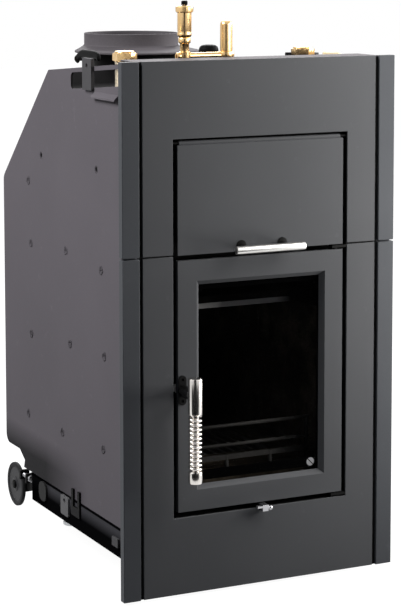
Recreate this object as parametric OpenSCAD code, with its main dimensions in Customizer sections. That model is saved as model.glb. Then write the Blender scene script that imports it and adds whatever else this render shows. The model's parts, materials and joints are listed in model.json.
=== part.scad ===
// Tiled stove insert with a water jacket: a welded boiler body behind a flush front with a
// glazed fire door and a cleaning flap, on levelling feet with two transport wheels.
// Millimetres, Z up, the front faces -Y, the origin lies on the floor under the middle.

/* [Front] */
// Width over the two side trims
front_w = 516; // [440:1:640]
// Height of the front
front_h = 900; // [780:5:1000]
// Gap under the front, above the floor
front_z = 5; // [2:1:20]
// Width of one side trim
trim_w = 31; // [20:1:50]
// Depth of a side trim
trim_t = 15; // [10:1:20]
// Shadow groove between trim and front plate
groove_w = 6; // [3:0.5:10]
// How far the trims stand proud of the plate and the doors
trim_proud = 2; // [0:0.5:4]
// Thickness of the front plate
plate_t = 4; // [2:0.5:6]
// Height of the cross seam above the front's lower edge
seam_h = 577; // [560:1:600]
// Width of the cross seam
seam_gap = 2.4; // [0.5:0.1:5]
// How far the tongue of a lower trim is set in from its edges
key_in = 5; // [3:0.5:7]
// Width of the front plate beside the doors
stile_w = 55.5; // [40:0.5:80]
// Lower edge of the door opening above the front's lower edge
opening_low = 132; // [120:1:150]
// Upper edge of the door opening above the front's lower edge
opening_high = 771; // [740:1:800]
// Thickness of the portal plate behind the front
portal_t = 6; // [4:1:10]
// Wall of the reveal box
reveal_t = 4.5; // [3:0.5:6]
// Depth of the door seat
seat_y = 40; // [30:1:60]
// Thickness of the seat plate
seat_t = 4; // [3:0.5:8]
// Width of the seat around the fire opening
seat_rim = 10; // [8:0.5:14]
// Depth of the top cover behind the front
cover_d = 63; // [30:1:80]

/* [Doors] */
// Gap between a door's sides and the opening
side_gap = 8.5; // [5:0.5:14]
// Gap under the fire door, and between both doors
door_gap = 9.5; // [6:0.5:14]
// Gap above the flap
flap_gap = 10.5; // [10:0.5:14]
// Height of the upper edge of the fire door above the front's lower edge
door_top = 568; // [540:1:575]
// Thickness of the door's face frame
door_t = 9; // [6:0.5:12]
// Width of the face frame around the glass
door_rim = 34.5; // [25:0.5:50]
// Width and depth of the bevel around the glass
bevel = 8; // [4:0.5:9]
// Inset of the inner door frame from the door's edge
inner_inset = 17; // [12:1:25]
// Wall of the inner door frame
inner_t = 4; // [3:0.5:6]
// Thickness of the glass
glass_t = 4; // [3:0.5:5]
// Radius of the outer screws of the glass strips
screw_r = 7.3; // [4:0.1:8]
// Overlap of the glass behind the bevel
glass_lap = 8; // [5:0.5:12]
// Hinge axis from the door's edge
hinge_in = 12; // [10:1:16]
// Hinge axis behind the front
hinge_y = 8; // [6:0.5:12]
// Radius of the hinge pins
hinge_r = 4; // [3:0.5:6]
// Running clearance of hinge pins, rods and axles
run_gap = 0.06; // [0.02:0.01:0.1]
// Length of a hinge pin inside the door
hinge_l = 18; // [10:1:30]
// Thickness of a hinge bracket
hinge_bracket_t = 4.5; // [3:0.5:6]
// Radius of the flap's hinge rod
rod_r = 2; // [1.5:0.1:2.5]
// Flap hinge rod above the flap's upper edge
rod_up = 3; // [2:0.1:3.2]
// Flap hinge rod behind the portal plate's face
rod_in = 2.2; // [2.2:0.1:2.6]
// Outer radius of the flap's hinge tube
lug_r = 3.8; // [3.4:0.1:4.2]
// Thickness of the sealing rope
rope_t = 8; // [5:0.5:12]

/* [Handles] */
// Radius of the door grip
grip_r = 12; // [9:0.5:14]
// Distance of the grip axis in front of the trims
grip_y = 49; // [35:1:70]
// Latch axis from the door's edge
latch_in = 7; // [6:0.5:12]
// Height of the latch axis above the front's lower edge
latch_h = 350; // [300:1:400]
// Grip above the latch axis
grip_up = 30.4; // [20:0.2:50]
// Smooth part of the grip below the latch axis
grip_smooth = 31; // [20:1:50]
// Lower end of the coil below the latch axis
coil_down = 126; // [90:1:160]
// Lower end of the grip below the latch axis
grip_down = 146.4; // [120:0.2:200]
// Radius of the coil's wire
wire_r = 2.25; // [1.5:0.05:3]
// Turns of the coil
coil_turns = 12; // [6:1:18]
// Radius of the core under the coil
core_r = 6.6; // [4:0.1:8]
// Radius of the latch shaft in front of the door
shaft_r = 10; // [7:0.5:12]
// Radius of the latch shaft inside the door
spindle_r = 5; // [4:0.5:6]
// Thickness of the rosette
rosette_t = 3; // [2:0.5:5]
// Height of the rosette
rosette_h = 50; // [40:1:70]
// Gap between the latch tongue and the opening's side
tongue_gap = 0.7; // [0.5:0.1:3]
// How far the latch keeper stands out of the opening's side
keeper_out = 5.5; // [3:0.5:7]
// Thickness of the latch tongue
tongue_t = 4; // [3:0.5:6]
// Length of the flap's bar
bar_l = 130; // [100:1:200]
// Radius of the flap's bar
bar_r = 7; // [5:0.5:9]
// Distance of the bar axis in front of the trims
bar_y = 30; // [25:1:45]
// Height of the bar above the front's lower edge
bar_h = 584; // [583:0.5:620]
// Posts of the bar from the middle
post_x = 39; // [25:1:55]
// Radius of a bar post
post_r = 4.75; // [3:0.25:6]
// Width of the air lever's handle
knob_w = 31; // [24:1:45]
// Radius of the ball on the air lever's handle
ball_r = 4.8; // [3:0.1:6]
// How far the air lever sticks out of the trims
knob_out = 15; // [10:1:20]
// Travel of the air lever to each side
air_travel = 25; // [10:1:30]
// Height of the air lever's stem
stem_h = 5; // [3:0.5:6]
// Width of the air lever's stem
stem_w = 12; // [8:1:20]

/* [Body] */
// Inset of the boiler body behind the front's edge
body_in = 40; // [33:1:60]
// Depth of the body behind the front
body_d = 660; // [600:5:760]
// Height of the side panels at the front above the floor
rim_front = 903; // [880:1:904]
// Height of the side panels at the rear bend
rim_rear = 870; // [850:1:890]
// Distance of the rear bend behind the front
bend_y = 422; // [380:1:460]
// Height where the sloped plate meets the rear wall
slope_low = 653; // [600:1:700]
// Height of the body's underside
body_low = 100; // [80:1:120]
// Height of the rear notch's edge
notch_z = 131; // [115:1:150]
// Start of the rear notch behind the base box
notch_in = 37; // [25:1:60]
// Sheet of the outer body
shell_t = 4; // [3:0.5:6]
// Radius of the sheet bends
bend_r = 18; // [8:1:30]
// Height of the deck under the pipe gallery
deck_z = 843; // [830:1:850]
// Start of the side slot behind the front
slot_y = 100; // [80:1:140]
// End of the side slot behind the front
slot_end = 315; // [250:1:340]
// Height of the side slot
slot_h = 29; // [20:1:34]
// Web between slot and rim
slot_web = 8; // [5:1:15]
// How far the lip under the slot is bent out
lip_out = 8; // [4:1:12]
// Wall of the inner fire chamber
fire_t = 5; // [4:0.5:8]
// Width of the water jacket at the sides
jacket = 44; // [30:1:60]
// Rear wall of the fire chamber behind the front
fire_rear = 616; // [560:1:625]
// Roof of the fire chamber
fire_top = 794; // [760:1:800]
// Underside of the fire chamber
fire_low = 120; // [112:1:125]
// Radius of a stay pin
stay_r = 7; // [4:0.5:10]
// Depth of the dimple over a stay pin
stay_dip = 2; // [1:0.5:3]
// Width of a lifting lug
lug_w = 40; // [20:1:50]
// Thickness of a lifting lug
lug_t = 6; // [4:0.5:10]
// Lifting lug behind the front
lug_y = 228; // [200:1:300]
// Lower end of a lifting lug above the deck
lug_up = 2; // [1:1:20]
// Gap between a lifting lug's upper end and the rim's height at the front
lug_down = 2.5; // [2:0.5:12]
// Lifting hole under the rim's height at the front
lug_hole_z = 16; // [12:1:24]
// Radius of the lifting hole
lug_hole_r = 4.25; // [3:0.25:10]

/* [Flue] */
// Outer radius of the flue spigot
flue_r = 90; // [60:0.5:110]
// Wall of the flue spigot
flue_t = 2.5; // [1.5:0.5:4]
// Flue axis behind the front
flue_y = 541; // [500:1:560]
// Upper edge of the flue spigot
flue_z = 929; // [915:1:990]
// Radius of the hood's skirt
skirt_r = 119; // [105:1:130]
// Middle of the skirt behind the front
skirt_y = 512; // [480:1:541]
// Underside of the skirt
skirt_z = 893; // [882:1:896]
// Height of the skirt's edge
skirt_h = 4; // [2:0.5:8]
// Upper edge of the hood
hood_z = 905; // [903:1:912]
// Sheet of the hood
hood_t = 3; // [2:0.5:5]
// Outer radius of the neck through the jacket
neck_r = 88; // [70:1:95]
// Wall of the neck
neck_t = 4; // [3:0.5:6]
// Height of the damper axis
damper_z = 884; // [868:1:887]
// Damper axis in front of the neck's middle
damper_in = 13; // [0:1:30]
// Radius of the damper shaft
damper_shaft_r = 4; // [3:0.5:6]
// Radius of the damper flap
damper_r = 80; // [60:1:82]
// Thickness of the damper flap
damper_t = 3; // [2:0.5:5]
// Reach of the damper lever to the front
lever_reach = 103; // [95:1:130]
// Rise of the damper lever's back above its shaft
lever_rise = 20; // [12:1:24]
// Bend of the damper lever in front of its shaft
lever_bend = 28; // [20:1:50]
// Length of the damper lever's drooping front end
lever_nose = 19; // [14:1:30]
// Gap between the damper lever and the skirt
lever_gap = 5; // [2:1:30]
// Thickness of the damper lever
lever_t = 8; // [4:0.5:10]

/* [Fittings] */
// Row of the fittings behind the front
fit_y = 130; // [115:1:160]
// Radius of the water stubs
stub_r = 16.85; // [13:0.05:24]
// Wall of the water stubs
stub_t = 3.25; // [2:0.05:4]
// Left water stub from the body's side
stub_in_left = 23; // [22:1:60]
// Right water stub from the body's side
stub_in_right = 70; // [50:1:80]
// Upper end of the water stubs
stub_z = 908; // [890:1:915]
// Width of the brass caps over the flats
cap_af = 36; // [34:1:46]
// Height of a brass cap
cap_h = 18; // [12:1:24]
// Top of the brass caps
cap_z = 917; // [905:1:940]
// Air vent from the middle, to the left
vent_x = 83; // [60:1:110]
// Length of the air vent's foot above its pipe
vent_foot = 26; // [20:1:30]
// Radius of the air vent's body
vent_r = 12.3; // [9:0.1:16]
// Lower end of the air vent's body
vent_low = 939; // [925:1:950]
// Upper end of the air vent's body
vent_top = 981; // [970:1:990]
// Radius of the air vent's head
vent_head_r = 15.5; // [13:0.5:18]
// Top of the air vent's head
vent_head_z = 992; // [985:1:995]
// Radius of the vent screw cap
vent_cap_r = 5.5; // [4:0.5:8]
// Top of the vent screw cap
vent_cap_z = 1000; // [998:0.5:1010]
// Radius of the brass cross pipe
cross_r = 6; // [4:0.5:8]
// End of the brass cross pipe beyond the air vent's axis
cross_end = 15; // [12:1:20]
// Radius of the boss under the sensor pocket
boss_r = 14; // [12:0.5:18]
// Height of the brass cross pipe
cross_z = 905; // [895:1:915]
// Sensor pocket from the middle, to the left
well_x = 3; // [0:1:30]
// Radius of the sensor pocket
well_r = 10.8; // [8:0.1:14]
// Top of the sensor pocket
well_z = 965; // [940:1:980]
// Side stub with the light cap, from the body's right side
side_in = 26; // [24:1:32]
// Side stub behind the front
side_y = 105; // [95:1:110]
// Radius of the light plastic cap
side_r = 16; // [12:0.5:20]
// Top of the light plastic cap
side_z = 907; // [890:1:920]
// Coil stub from the body's right side
coil_in = 100; // [94:1:104]
// Radius of the coil stub
coil_stub_r = 6; // [4:0.5:9]
// Hatch knob behind the front
hatch_y = 205; // [190:1:260]
// Width of the hatch cover
hatch_w = 170; // [120:1:240]
// Length of the hatch cover
hatch_l = 150; // [100:1:160]
// Thickness of the hatch cover
hatch_t = 5; // [3:0.5:8]
// Radius of the hatch knob
hatch_knob_r = 17.5; // [12:0.5:22]
// Top of the hatch knob
hatch_knob_z = 920; // [900:1:940]

/* [Base] */
// Underside of the base box
base_z = 47; // [40:1:60]
// Front of the base box behind the front
base_y = 20; // [16:1:40]
// Rear of the base box behind the front
base_end = 524; // [480:1:540]
// Sheet of the base box
base_t = 3; // [2:0.5:5]
// Levelling feet from the body's sides
foot_side = 68; // [40:1:90]
// Levelling feet from the ends of the base box
foot_in = 36; // [25:1:60]
// Radius of a foot's pad
pad_r = 18; // [12:1:30]
// Height of a foot's pad
pad_h = 8; // [5:1:12]
// Radius of a foot's stud
stud_r = 6; // [5:0.5:8]
// Radius of the transport wheels
wheel_r = 42.5; // [34:0.5:46]
// Width of a transport wheel
wheel_w = 7.5; // [7:0.5:20]
// Outer face of a wheel inside the body's side
wheel_in = 12; // [11:1:24]
// Wheel axis behind the base box
wheel_back = 124.5; // [110:0.5:140]
// Clearance of the wheels above the floor
wheel_lift = 3; // [1:0.5:10]
// Radius of a wheel's axle
axle_r = 5; // [4:0.5:8]
// Thickness of a wheel bracket
bracket_t = 4; // [3:0.5:6]
// Radius of an adjusting bolt
adjust_r = 4.5; // [3:0.5:6]
// Length of an adjusting bolt under its head
adjust_l = 51; // [45:1:56]
// Adjusting bolt above the base box's underside
adjust_up = 30; // [26:1:36]
// Distance between the two lugs of an adjusting bolt
adjust_span = 32; // [20:1:36]
// Outer radius of the combustion air spigot
air_r = 50; // [40:1:62]
// Wall of the combustion air spigot
air_t = 2; // [1:0.5:3]
// Combustion air spigot behind the front
air_y = 300; // [200:1:380]
// Length of the combustion air spigot below the base
air_l = 30; // [20:1:38]
// Thickness of the side tabs
tab_t = 4; // [2:0.5:6]
// Round tab behind the front
tab_round = 461; // [420:1:480]
// Holed tab behind the front
tab_holed = 352; // [340:1:400]
// Width of a round or holed tab
tab_w = 36; // [24:1:44]
// Forked tab behind the front
tab_fork = 300; // [240:1:310]
// Height of the forked tab
fork_h = 48; // [30:1:60]
// Front tab behind the front
tab_front = 122; // [60:1:200]

/* [Firebox] */
// Half width of the air duct under the slide plate
duct_half = 70; // [62:1:76]
// Length of the air duct under the slide plate
duct_l = 70; // [60:1:90]
// Distance between two air slots
duct_pitch = 50; // [46:1:50]
// Height of the air holes in the rear bricks above the floor bricks
jet_h = 150; // [100:1:240]
// Radius of the air holes in the rear bricks
jet_r = 5; // [3:0.5:8]
// Thickness of the firebricks
brick_t = 25; // [20:1:35]
// Top of the floor bricks
floor_z = 200; // [195:1:205]
// Top of the side bricks and underside of the baffle
brick_top = 464; // [440:1:480]
// Front of the side bricks behind the front
brick_y = 62; // [58:1:80]
// Rear of the side bricks behind the front
brick_end = 505; // [450:1:520]
// Joint between two bricks
brick_joint = 1; // [0.5:0.1:2]
// Thickness of the baffle
baffle_t = 22; // [15:1:30]
// Front edge of the baffle behind the front
baffle_y = 130; // [110:1:180]
// Width of the grate
grate_w = 190; // [150:2:220]
// Length of the grate
grate_l = 190; // [150:2:240]
// Thickness of the grate
grate_t = 8; // [6:0.5:12]
// Bars of the grate
grate_n = 9; // [5:1:13]
// Middle of the grate behind the front
grate_y = 240; // [200:1:300]
// Width of the ash pan
pan_w = 220; // [160:2:260]
// Length of the ash pan
pan_l = 300; // [200:2:340]
// Height of the ash pan
pan_h = 40; // [25:1:42]
// Sheet of the ash pan
pan_t = 1.5; // [1:0.5:3]
// Log guard behind the front
guard_y = 52; // [50:1:58]
// Length of the guard's rods
guard_l = 236; // [200:2:250]
// Upper rod of the guard
guard_top = 273; // [240:1:300]
// Middle rod of the guard
guard_mid = 239; // [225:1:260]
// Lower rail of the guard
guard_low = 218; // [210:1:224]
// Radius of the guard's rods
guard_r = 3; // [2:0.5:5]

/* [Hidden] */
e = 0.5;
// Clearance between pieces that move against each other
gap = 0.4;
// Clearance between pieces that are pushed together and stay
slip = 0.05;
half_body = front_w / 2 - body_in;
opening_w = front_w - 2 * (trim_w + groove_w + stile_w);
door_w = opening_w - 2 * side_gap;
hinge_x = door_w / 2 - hinge_in;
latch_x = door_w / 2 - latch_in;
stub_left = half_body - stub_in_left;
stub_right = half_body - stub_in_right;
side_x = half_body - side_in;
coil_x = half_body - coil_in;
foot_x = half_body - foot_side;
wheel_x = half_body - wheel_in;
wheel_y = base_end + wheel_back;
notch_y = base_end + notch_in;
lever_x = skirt_r + lever_gap;
damper_y = skirt_y - damper_in;
y_mid = (wheel_y + wheel_r - grip_y - grip_r) / 2;
plate_y = trim_proud;
portal_y = plate_y + plate_t;
shell_y = portal_y + portal_t;
half_open = opening_w / 2;
open_lo = front_z + opening_low;
open_hi = front_z + opening_high;
seam_z = front_z + seam_h;
half_fire = half_body - shell_t - jacket;
fire_y = seat_y + seat_t;
plate_half = front_w / 2 - trim_w - groove_w;
door_lo = open_lo + door_gap;
door_hi = front_z + door_top;
flap_lo = door_hi + door_gap - 0.5;
flap_hi = open_hi - flap_gap;
door_half = door_w / 2;
window_half = door_half - door_rim;
window_lo = door_lo + door_rim + 1;
window_hi = door_hi - door_rim - 1;
inner_half = door_half - inner_inset;
inner_lo = door_lo + inner_inset - 2;
inner_hi = door_hi - inner_inset + 2;
flap_inner_lo = flap_lo + inner_inset - 2;
flap_inner_hi = flap_hi - inner_inset + 2;
fire_half = inner_half - seat_rim;
inner_back = seat_y - 9;
door_back = plate_y + door_t;
latch_z = front_z + latch_h;
rod_z = flap_hi + rod_up;
rod_y = portal_y + rod_in;
bar_z = front_z + bar_h;
knob_z = open_lo + 1;
tongue_r = half_open - latch_x - tongue_gap;
stem_z = open_lo + 2.5;
slope = (rim_rear - slope_low) / (body_d - bend_y);
slope_a = atan(slope);
slope_drop = (shell_t + jacket) / cos(slope_a);
rim_fall = (rim_front - rim_rear) / (bend_y - shell_y);
floor_top = fire_low + fire_t;
wheel_z = wheel_r + wheel_lift;
bracket_x = wheel_x - wheel_w - 2;
adjust_x = bracket_x + 2 * adjust_r;
adjust_y = base_end + notch_in + 2;
adjust_z = base_z + adjust_up;
adjust_lug = 6;
air_stem_y = fire_y + 6;
pan_z = floor_top + 6;
coil_r = grip_r - wire_r;
coil_pitch = (coil_down - grip_smooth - 2 * wire_r - 1.2) / coil_turns;

// Spots of the stay pins on a side panel, as distance behind the front and height
stay_spots = [[461, 710], [202, 709], [527, 657], [517, 540], [344, 549], [183, 536],
  [518, 368], [327, 382], [172, 387], [538, 211], [367, 211], [178, 222]];

function unit(v) = v / norm(v);
function turn(a) = (a + 540) % 360 - 180;

// Points of an arc that rounds the corner b between a and c
function corner_arc(a, b, c, r, n) =
  let (u = unit(a - b), w = unit(c - b), h = acos(u * w) / 2)
  let (o = b + unit(u + w) * r / sin(h), s = b + u * r / tan(h) - o, f = b + w * r / tan(h) - o)
  let (a0 = atan2(s[1], s[0]), da = turn(atan2(f[1], f[0]) - a0))
  [for (i = [0:n]) o + r * [cos(a0 + da * i / n), sin(a0 + da * i / n)]];

// Closed outline with each corner rounded by its own radius
function rounded(p, r, n = 6) =
  [for (i = [0:len(p) - 1]) each (r[i] > 0
    ? corner_arc(p[(i + len(p) - 1) % len(p)], p[i], p[(i + 1) % len(p)], r[i], n)
    : [p[i]])];

function rim_at(y) = rim_front - rim_fall * (y - shell_y);
function slope_at(y) = rim_rear - slope * (y - bend_y);

module placed() {
  translate([0, -y_mid, 0]) children();
}

module block(x0, x1, y0, y1, z0, z1) {
  translate([x0, y0, z0]) cube([x1 - x0, y1 - y0, z1 - z0]);
}

// Round bar or hole along X, Y or Z
module bar_x(x0, x1, y, z, r, n = 48) {
  translate([x0, y, z]) rotate([0, 90, 0]) cylinder(h = x1 - x0, r = r, $fn = n);
}

module bar_y_dir(y0, y1, x, z, r, n = 48) {
  translate([x, y1, z]) rotate([90, 0, 0]) cylinder(h = y1 - y0, r = r, $fn = n);
}

module bar_z_dir(z0, z1, x, y, r, n = 48) {
  translate([x, y, z0]) cylinder(h = z1 - z0, r = r, $fn = n);
}

// Plate lying in a YZ plane, its outline given as points behind the front and heights
module side_sheet(x0, x1, points) {
  translate([x0, 0, 0]) rotate([90, 0, 90]) linear_extrude(height = x1 - x0) polygon(points);
}

// Plate lying in an XZ plane
module front_sheet(y0, y1, points) {
  translate([0, y1, 0]) rotate([90, 0, 0]) linear_extrude(height = y1 - y0) polygon(points);
}

module both_sides() {
  children();
  mirror([1, 0, 0]) children();
}

// Front plates and trims
module front_plate_cut() {
  block(-half_open, half_open, plate_y - e, portal_y + e, open_lo, open_hi);
}

module front_plate_upper() {
  color("#77797c") placed() difference() {
    block(-plate_half, plate_half, plate_y, portal_y, seam_z + seam_gap / 2, front_z + front_h);
    front_plate_cut();
  }
}

module front_plate_lower() {
  color("#707275") placed() difference() {
    block(-plate_half, plate_half, plate_y, portal_y, front_z, seam_z - seam_gap / 2);
    front_plate_cut();
  }
}

module trim(z0, z1) {
  block(front_w / 2 - trim_w, front_w / 2, 0, trim_t, z0, z1);
}

// Lower trim, with the tongue that keeps both trims in line behind the seam
module trim_lower() {
  x = front_w / 2;
  trim(front_z, seam_z - seam_gap / 2);
  block(x - trim_w + key_in, x - key_in, key_in, trim_t, seam_z - seam_gap / 2 - e,
    seam_z + seam_gap / 2);
}

module trim_left_upper() {
  color("#606266") placed() mirror([1, 0, 0]) trim(seam_z + seam_gap / 2, front_z + front_h);
}

module trim_left_lower() {
  color("#606266") placed() mirror([1, 0, 0]) trim_lower();
}

module trim_right_upper() {
  color("#606266") placed() trim(seam_z + seam_gap / 2, front_z + front_h);
}

module trim_right_lower() {
  color("#606266") placed() trim_lower();
}

// Portal: plate behind the front, reveal box and the seat for both doors
module portal_frame() {
  seat_half = half_fire + 2;
  inner_w = half_open + reveal_t;
  color("#3a3b3d") placed() {
    difference() {
      block(-front_w / 2 + trim_w, front_w / 2 - trim_w, portal_y, shell_y, front_z, rim_front);
      block(-inner_w - slip, inner_w + slip, portal_y - e, shell_y + e,
        open_lo - reveal_t - slip, open_hi + reveal_t + slip);
    }
    difference() {
      union() {
        block(-inner_w, inner_w, portal_y, seat_y, open_lo - reveal_t, open_hi + reveal_t);
        block(-seat_half, seat_half, seat_y - e, fire_y, fire_low - 2, fire_top + 2);
      }
      block(-half_open, half_open, portal_y - e, seat_y, open_lo, open_hi);
      block(-fire_half, fire_half, seat_y - e, fire_y + e, inner_lo + 12, inner_hi - 10);
      block(-fire_half, fire_half, seat_y - e, fire_y + e, flap_inner_lo + 10,
        flap_inner_hi - 6);
      block(-air_travel - stem_w / 2 - 1, air_travel + stem_w / 2 + 1, seat_y - e, fire_y + e,
        stem_z - 1, stem_z + stem_h + 1);
      bar_x(-half_open - reveal_t + 1, half_open + reveal_t - 1, rod_y, rod_z, rod_r + slip);
    }
  }
}

// Keeper that the latch tongue turns behind, screwed to the side of the reveal
module latch_keeper() {
  x = -half_open;
  y = door_back + tongue_t + 4;
  color("#b7b8ba") placed() {
    block(x, x + keeper_out, y, y + 4, latch_z - 12, latch_z + 17);
    block(x, x + 2, y + 3, y + 14, latch_z - 12, latch_z + 17);
  }
}

module top_cover() {
  half = front_w / 2 - trim_w;
  color("#b9bbbd") placed() {
    block(-half, half, portal_y, shell_y + cover_d, rim_front, front_z + front_h);
    block(-half_body + 14, half_body - 14, shell_y + cover_d - 2, shell_y + cover_d,
      rim_front - 12, rim_front);
  }
}

// Outline of the body seen from the side
function body_outline() = rounded(
  [[shell_y, body_low], [notch_y + 5, body_low], [notch_y, notch_z - 16],
   [notch_y + 27, notch_z], [body_d, notch_z], [body_d, slope_low], [bend_y, rim_rear],
   [shell_y, rim_front]],
  [0, 0, 0, 6, bend_r, bend_r, 6, 0]);

function jacket_outline() = let (t = shell_t)
  [[shell_y - e, body_low + t], [notch_y - 2, body_low + t], [notch_y - 6, notch_z - 13],
   [notch_y + 24, notch_z + t], [body_d - t - 6, notch_z + t], [body_d - t, notch_z + t + 6],
   [body_d - t, slope_low - 4], [body_d - t - 7, slope_at(body_d - 7) - t / cos(slope_a)],
   [bend_y + t, rim_rear - t - 1.5], [bend_y + t, deck_z - t], [shell_y - e, deck_z - t]];

module slot_cut() {
  y1 = slot_end;
  side_sheet(half_body - shell_t - e, half_body + e, rounded(
    [[slot_y, rim_at(slot_y) - slot_web - slot_h], [y1, rim_at(y1) - slot_web - slot_h],
     [y1, rim_at(y1) - slot_web], [slot_y, rim_at(slot_y) - slot_web]], [6, 6, 10, 6]));
}

module slot_lip() {
  x = half_body;
  z = rim_at(slot_end) - slot_web - slot_h;
  y0 = slot_y + 5;
  translate([0, lug_y - lug_w / 2 - 1, 0]) rotate([90, 0, 0])
    linear_extrude(height = lug_y - lug_w / 2 - 1 - y0)
      polygon([[x - 1, z + 2], [x, z + 2], [x + lip_out, z - 6], [x + lip_out, z - 9],
        [x + lip_out - 2, z - 9], [x, z - 3], [x - 1, z - 3]]);
}

// Wrap of the water jacket: underside, rear, slope and the tray for the pipes
module boiler_shell() {
  inner = half_body - shell_t;
  color("#6a6c6f") placed() difference() {
    side_sheet(-inner, inner, body_outline());
    side_sheet(-inner - e, inner + e, jacket_outline());
    block(-inner - e, inner + e, shell_y - e, bend_y, deck_z, rim_front + 5);
    bar_z_dir(brick_top + baffle_t, rim_front, 0, skirt_y, neck_r + slip, 96);
    bar_z_dir(deck_z - 9, deck_z + 5, -stub_left, fit_y, stub_r - stub_t);
    bar_z_dir(deck_z - 9, deck_z + 5, stub_right, fit_y, stub_r - stub_t);
    bar_z_dir(deck_z - 9, deck_z + 5, side_x, side_y, stub_r - stub_t - 4);
    block(-duct_half, duct_half, floor_cut_y(), floor_cut_y() + duct_l, body_low - e,
      body_low + shell_t + e);
  }
}

module side_panel() {
  difference() {
    union() {
      side_sheet(half_body - shell_t, half_body, body_outline());
      slot_lip();
    }
    slot_cut();
    for (p = stay_spots)
      bar_x(half_body - shell_t - e, half_body + e, p[0], p[1], stay_r + slip, 24);
  }
}

module side_panels() {
  color("#6a6c6f") placed() both_sides() side_panel();
}

function floor_cut_y() = fire_y + 16;

function fire_outline(t) = let (d = slope_drop - t / cos(slope_a))
  [[fire_y + (t > 0 ? -e : 0), fire_low + t], [notch_y - 21, fire_low + t],
   [notch_y + 11, notch_z + 20 + t], [fire_rear - t, notch_z + 20 + t],
   [fire_rear - t, slope_at(fire_rear - t) - slope_drop - (t > 0 ? t / cos(slope_a) : 0)],
   [bend_y + (rim_rear - slope_drop - fire_top) / slope - t * tan(slope_a / 2), fire_top - t],
   [fire_y + (t > 0 ? -e : 0), fire_top - t]];

// Fire chamber with air duct, pan rails and brick ledges
module firebox_shell() {
  inner = half_fire - fire_t;
  cut = floor_cut_y();
  color("#3c3b3a") placed() {
    difference() {
      side_sheet(-half_fire, half_fire, fire_outline(0));
      side_sheet(-inner, inner, fire_outline(fire_t));
      bar_z_dir(brick_top + baffle_t, rim_front, 0, skirt_y, neck_r - neck_t, 96);
      for (x = [-duct_pitch, 0, duct_pitch])
        block(x - 14, x + 14, cut + 12, cut + duct_l - 12, fire_low - e, floor_top + e);
    }
    difference() {
      block(-duct_half - 6, duct_half + 6, cut - 6, cut + duct_l + 6, body_low + shell_t, fire_low);
      block(-duct_half, duct_half, cut, cut + duct_l, body_low, fire_low + e);
    }
    both_sides() block(pan_w / 2 - 16, pan_w / 2 - 8, cut + duct_l + 14, cut + pan_l + 30,
      floor_top, pan_z);
    both_sides() block(inner - 22, inner, guard_y - 4, brick_end, floor_z - brick_t - 5,
      floor_z - brick_t);
  }
}

module stay_pins() {
  color("#8b8c8e") placed() both_sides() for (p = stay_spots)
    bar_x(half_fire, half_body - stay_dip, p[0], p[1], stay_r, 24);
}

module lifting_lugs() {
  color("#4a4b4d") placed() both_sides() difference() {
    block(half_body, half_body + lug_t, lug_y - lug_w / 2, lug_y + lug_w / 2,
      deck_z + lug_up, rim_front - lug_down);
    bar_x(half_body - e, half_body + lug_t + e, lug_y, rim_front - lug_hole_z, lug_hole_r, 32);
  }
}

// Flue: neck through the jacket, hood, spigot and start-up damper
module flue_neck() {
  color("#2c2c2d") placed() difference() {
    bar_z_dir(slope_low + 40, skirt_z + 2, 0, skirt_y, neck_r, 96);
    bar_z_dir(slope_low, rim_front, 0, skirt_y, neck_r - neck_t, 96);
    side_sheet(-half_fire, half_fire, fire_outline(0));
    bar_x(-neck_r - e, neck_r + e, damper_y, damper_z, damper_shaft_r + gap);
  }
}

module hood_body(t) {
  hull() {
    bar_z_dir(skirt_z + (t > 0 ? 2 : 0), skirt_z + max(2.2, skirt_h - t * 0.6), 0, skirt_y,
      skirt_r - t, 72);
    bar_z_dir(hood_z - 2 - t, hood_z - t, 0, flue_y, flue_r + 2.5 - t, 72);
  }
}

module flue_hood() {
  color("#55575a") placed() difference() {
    hood_body(0);
    hood_body(hood_t);
    bar_z_dir(skirt_z - e, skirt_z + skirt_h, 0, skirt_y, neck_r + slip, 96);
    bar_z_dir(hood_z - 9, hood_z + 5, 0, flue_y, flue_r - flue_t, 96);
  }
}

module flue_collar() {
  color("#606265") placed() difference() {
    bar_z_dir(hood_z, flue_z, 0, flue_y, flue_r, 96);
    bar_z_dir(hood_z - e, flue_z + e, 0, flue_y, flue_r - flue_t, 96);
  }
}

module damper_flap() {
  color("#3b3b3b") placed() {
    bar_x(-lever_x - lever_t, neck_r + 8, damper_y, damper_z, damper_shaft_r);
    intersection() {
      bar_z_dir(damper_z - damper_t / 2, damper_z + damper_t / 2, 0, skirt_y, damper_r, 96);
      block(-damper_r, damper_r, damper_y, skirt_y + damper_r, 0, rim_front);
    }
  }
}

module damper_lever() {
  x0 = -lever_x - lever_t;
  y = damper_y;
  z = damper_z;
  color("#151515") placed() difference() {
    union() {
      bar_x(x0, -lever_x, y, z, 8.5);
      side_sheet(x0, -lever_x, rounded([[y - 6, z - 7], [y + 4, z + 8],
        [y - lever_bend, z + lever_rise], [y - lever_reach + lever_nose, z + lever_rise],
        [y - lever_reach, z + lever_rise - 6], [y - lever_reach, z + lever_rise - 14],
        [y - lever_reach + 12, z + lever_rise - 13],
        [y - lever_reach + lever_nose + 4, z + lever_rise - 10],
        [y - lever_bend - 4, z + lever_rise - 11]], [0, 0, 16, 14, 5, 3, 4, 8, 14], 4));
    }
    bar_x(x0 - e, -lever_x + e, y, z, damper_shaft_r + slip);
  }
}

// Water and air fittings in the tray
module stub(x, y, z1, r, t) {
  difference() {
    bar_z_dir(deck_z, z1, x, y, r);
    bar_z_dir(deck_z - e, z1 + e, x, y, r - t);
  }
}

module water_stubs() {
  color("#c9c9c6") placed() {
    stub(-stub_left, fit_y, stub_z, stub_r, stub_t);
    stub(stub_right, fit_y, stub_z, stub_r, stub_t);
    stub(side_x, side_y, side_z - 6, stub_r - 4, stub_t);
  }
}

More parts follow.
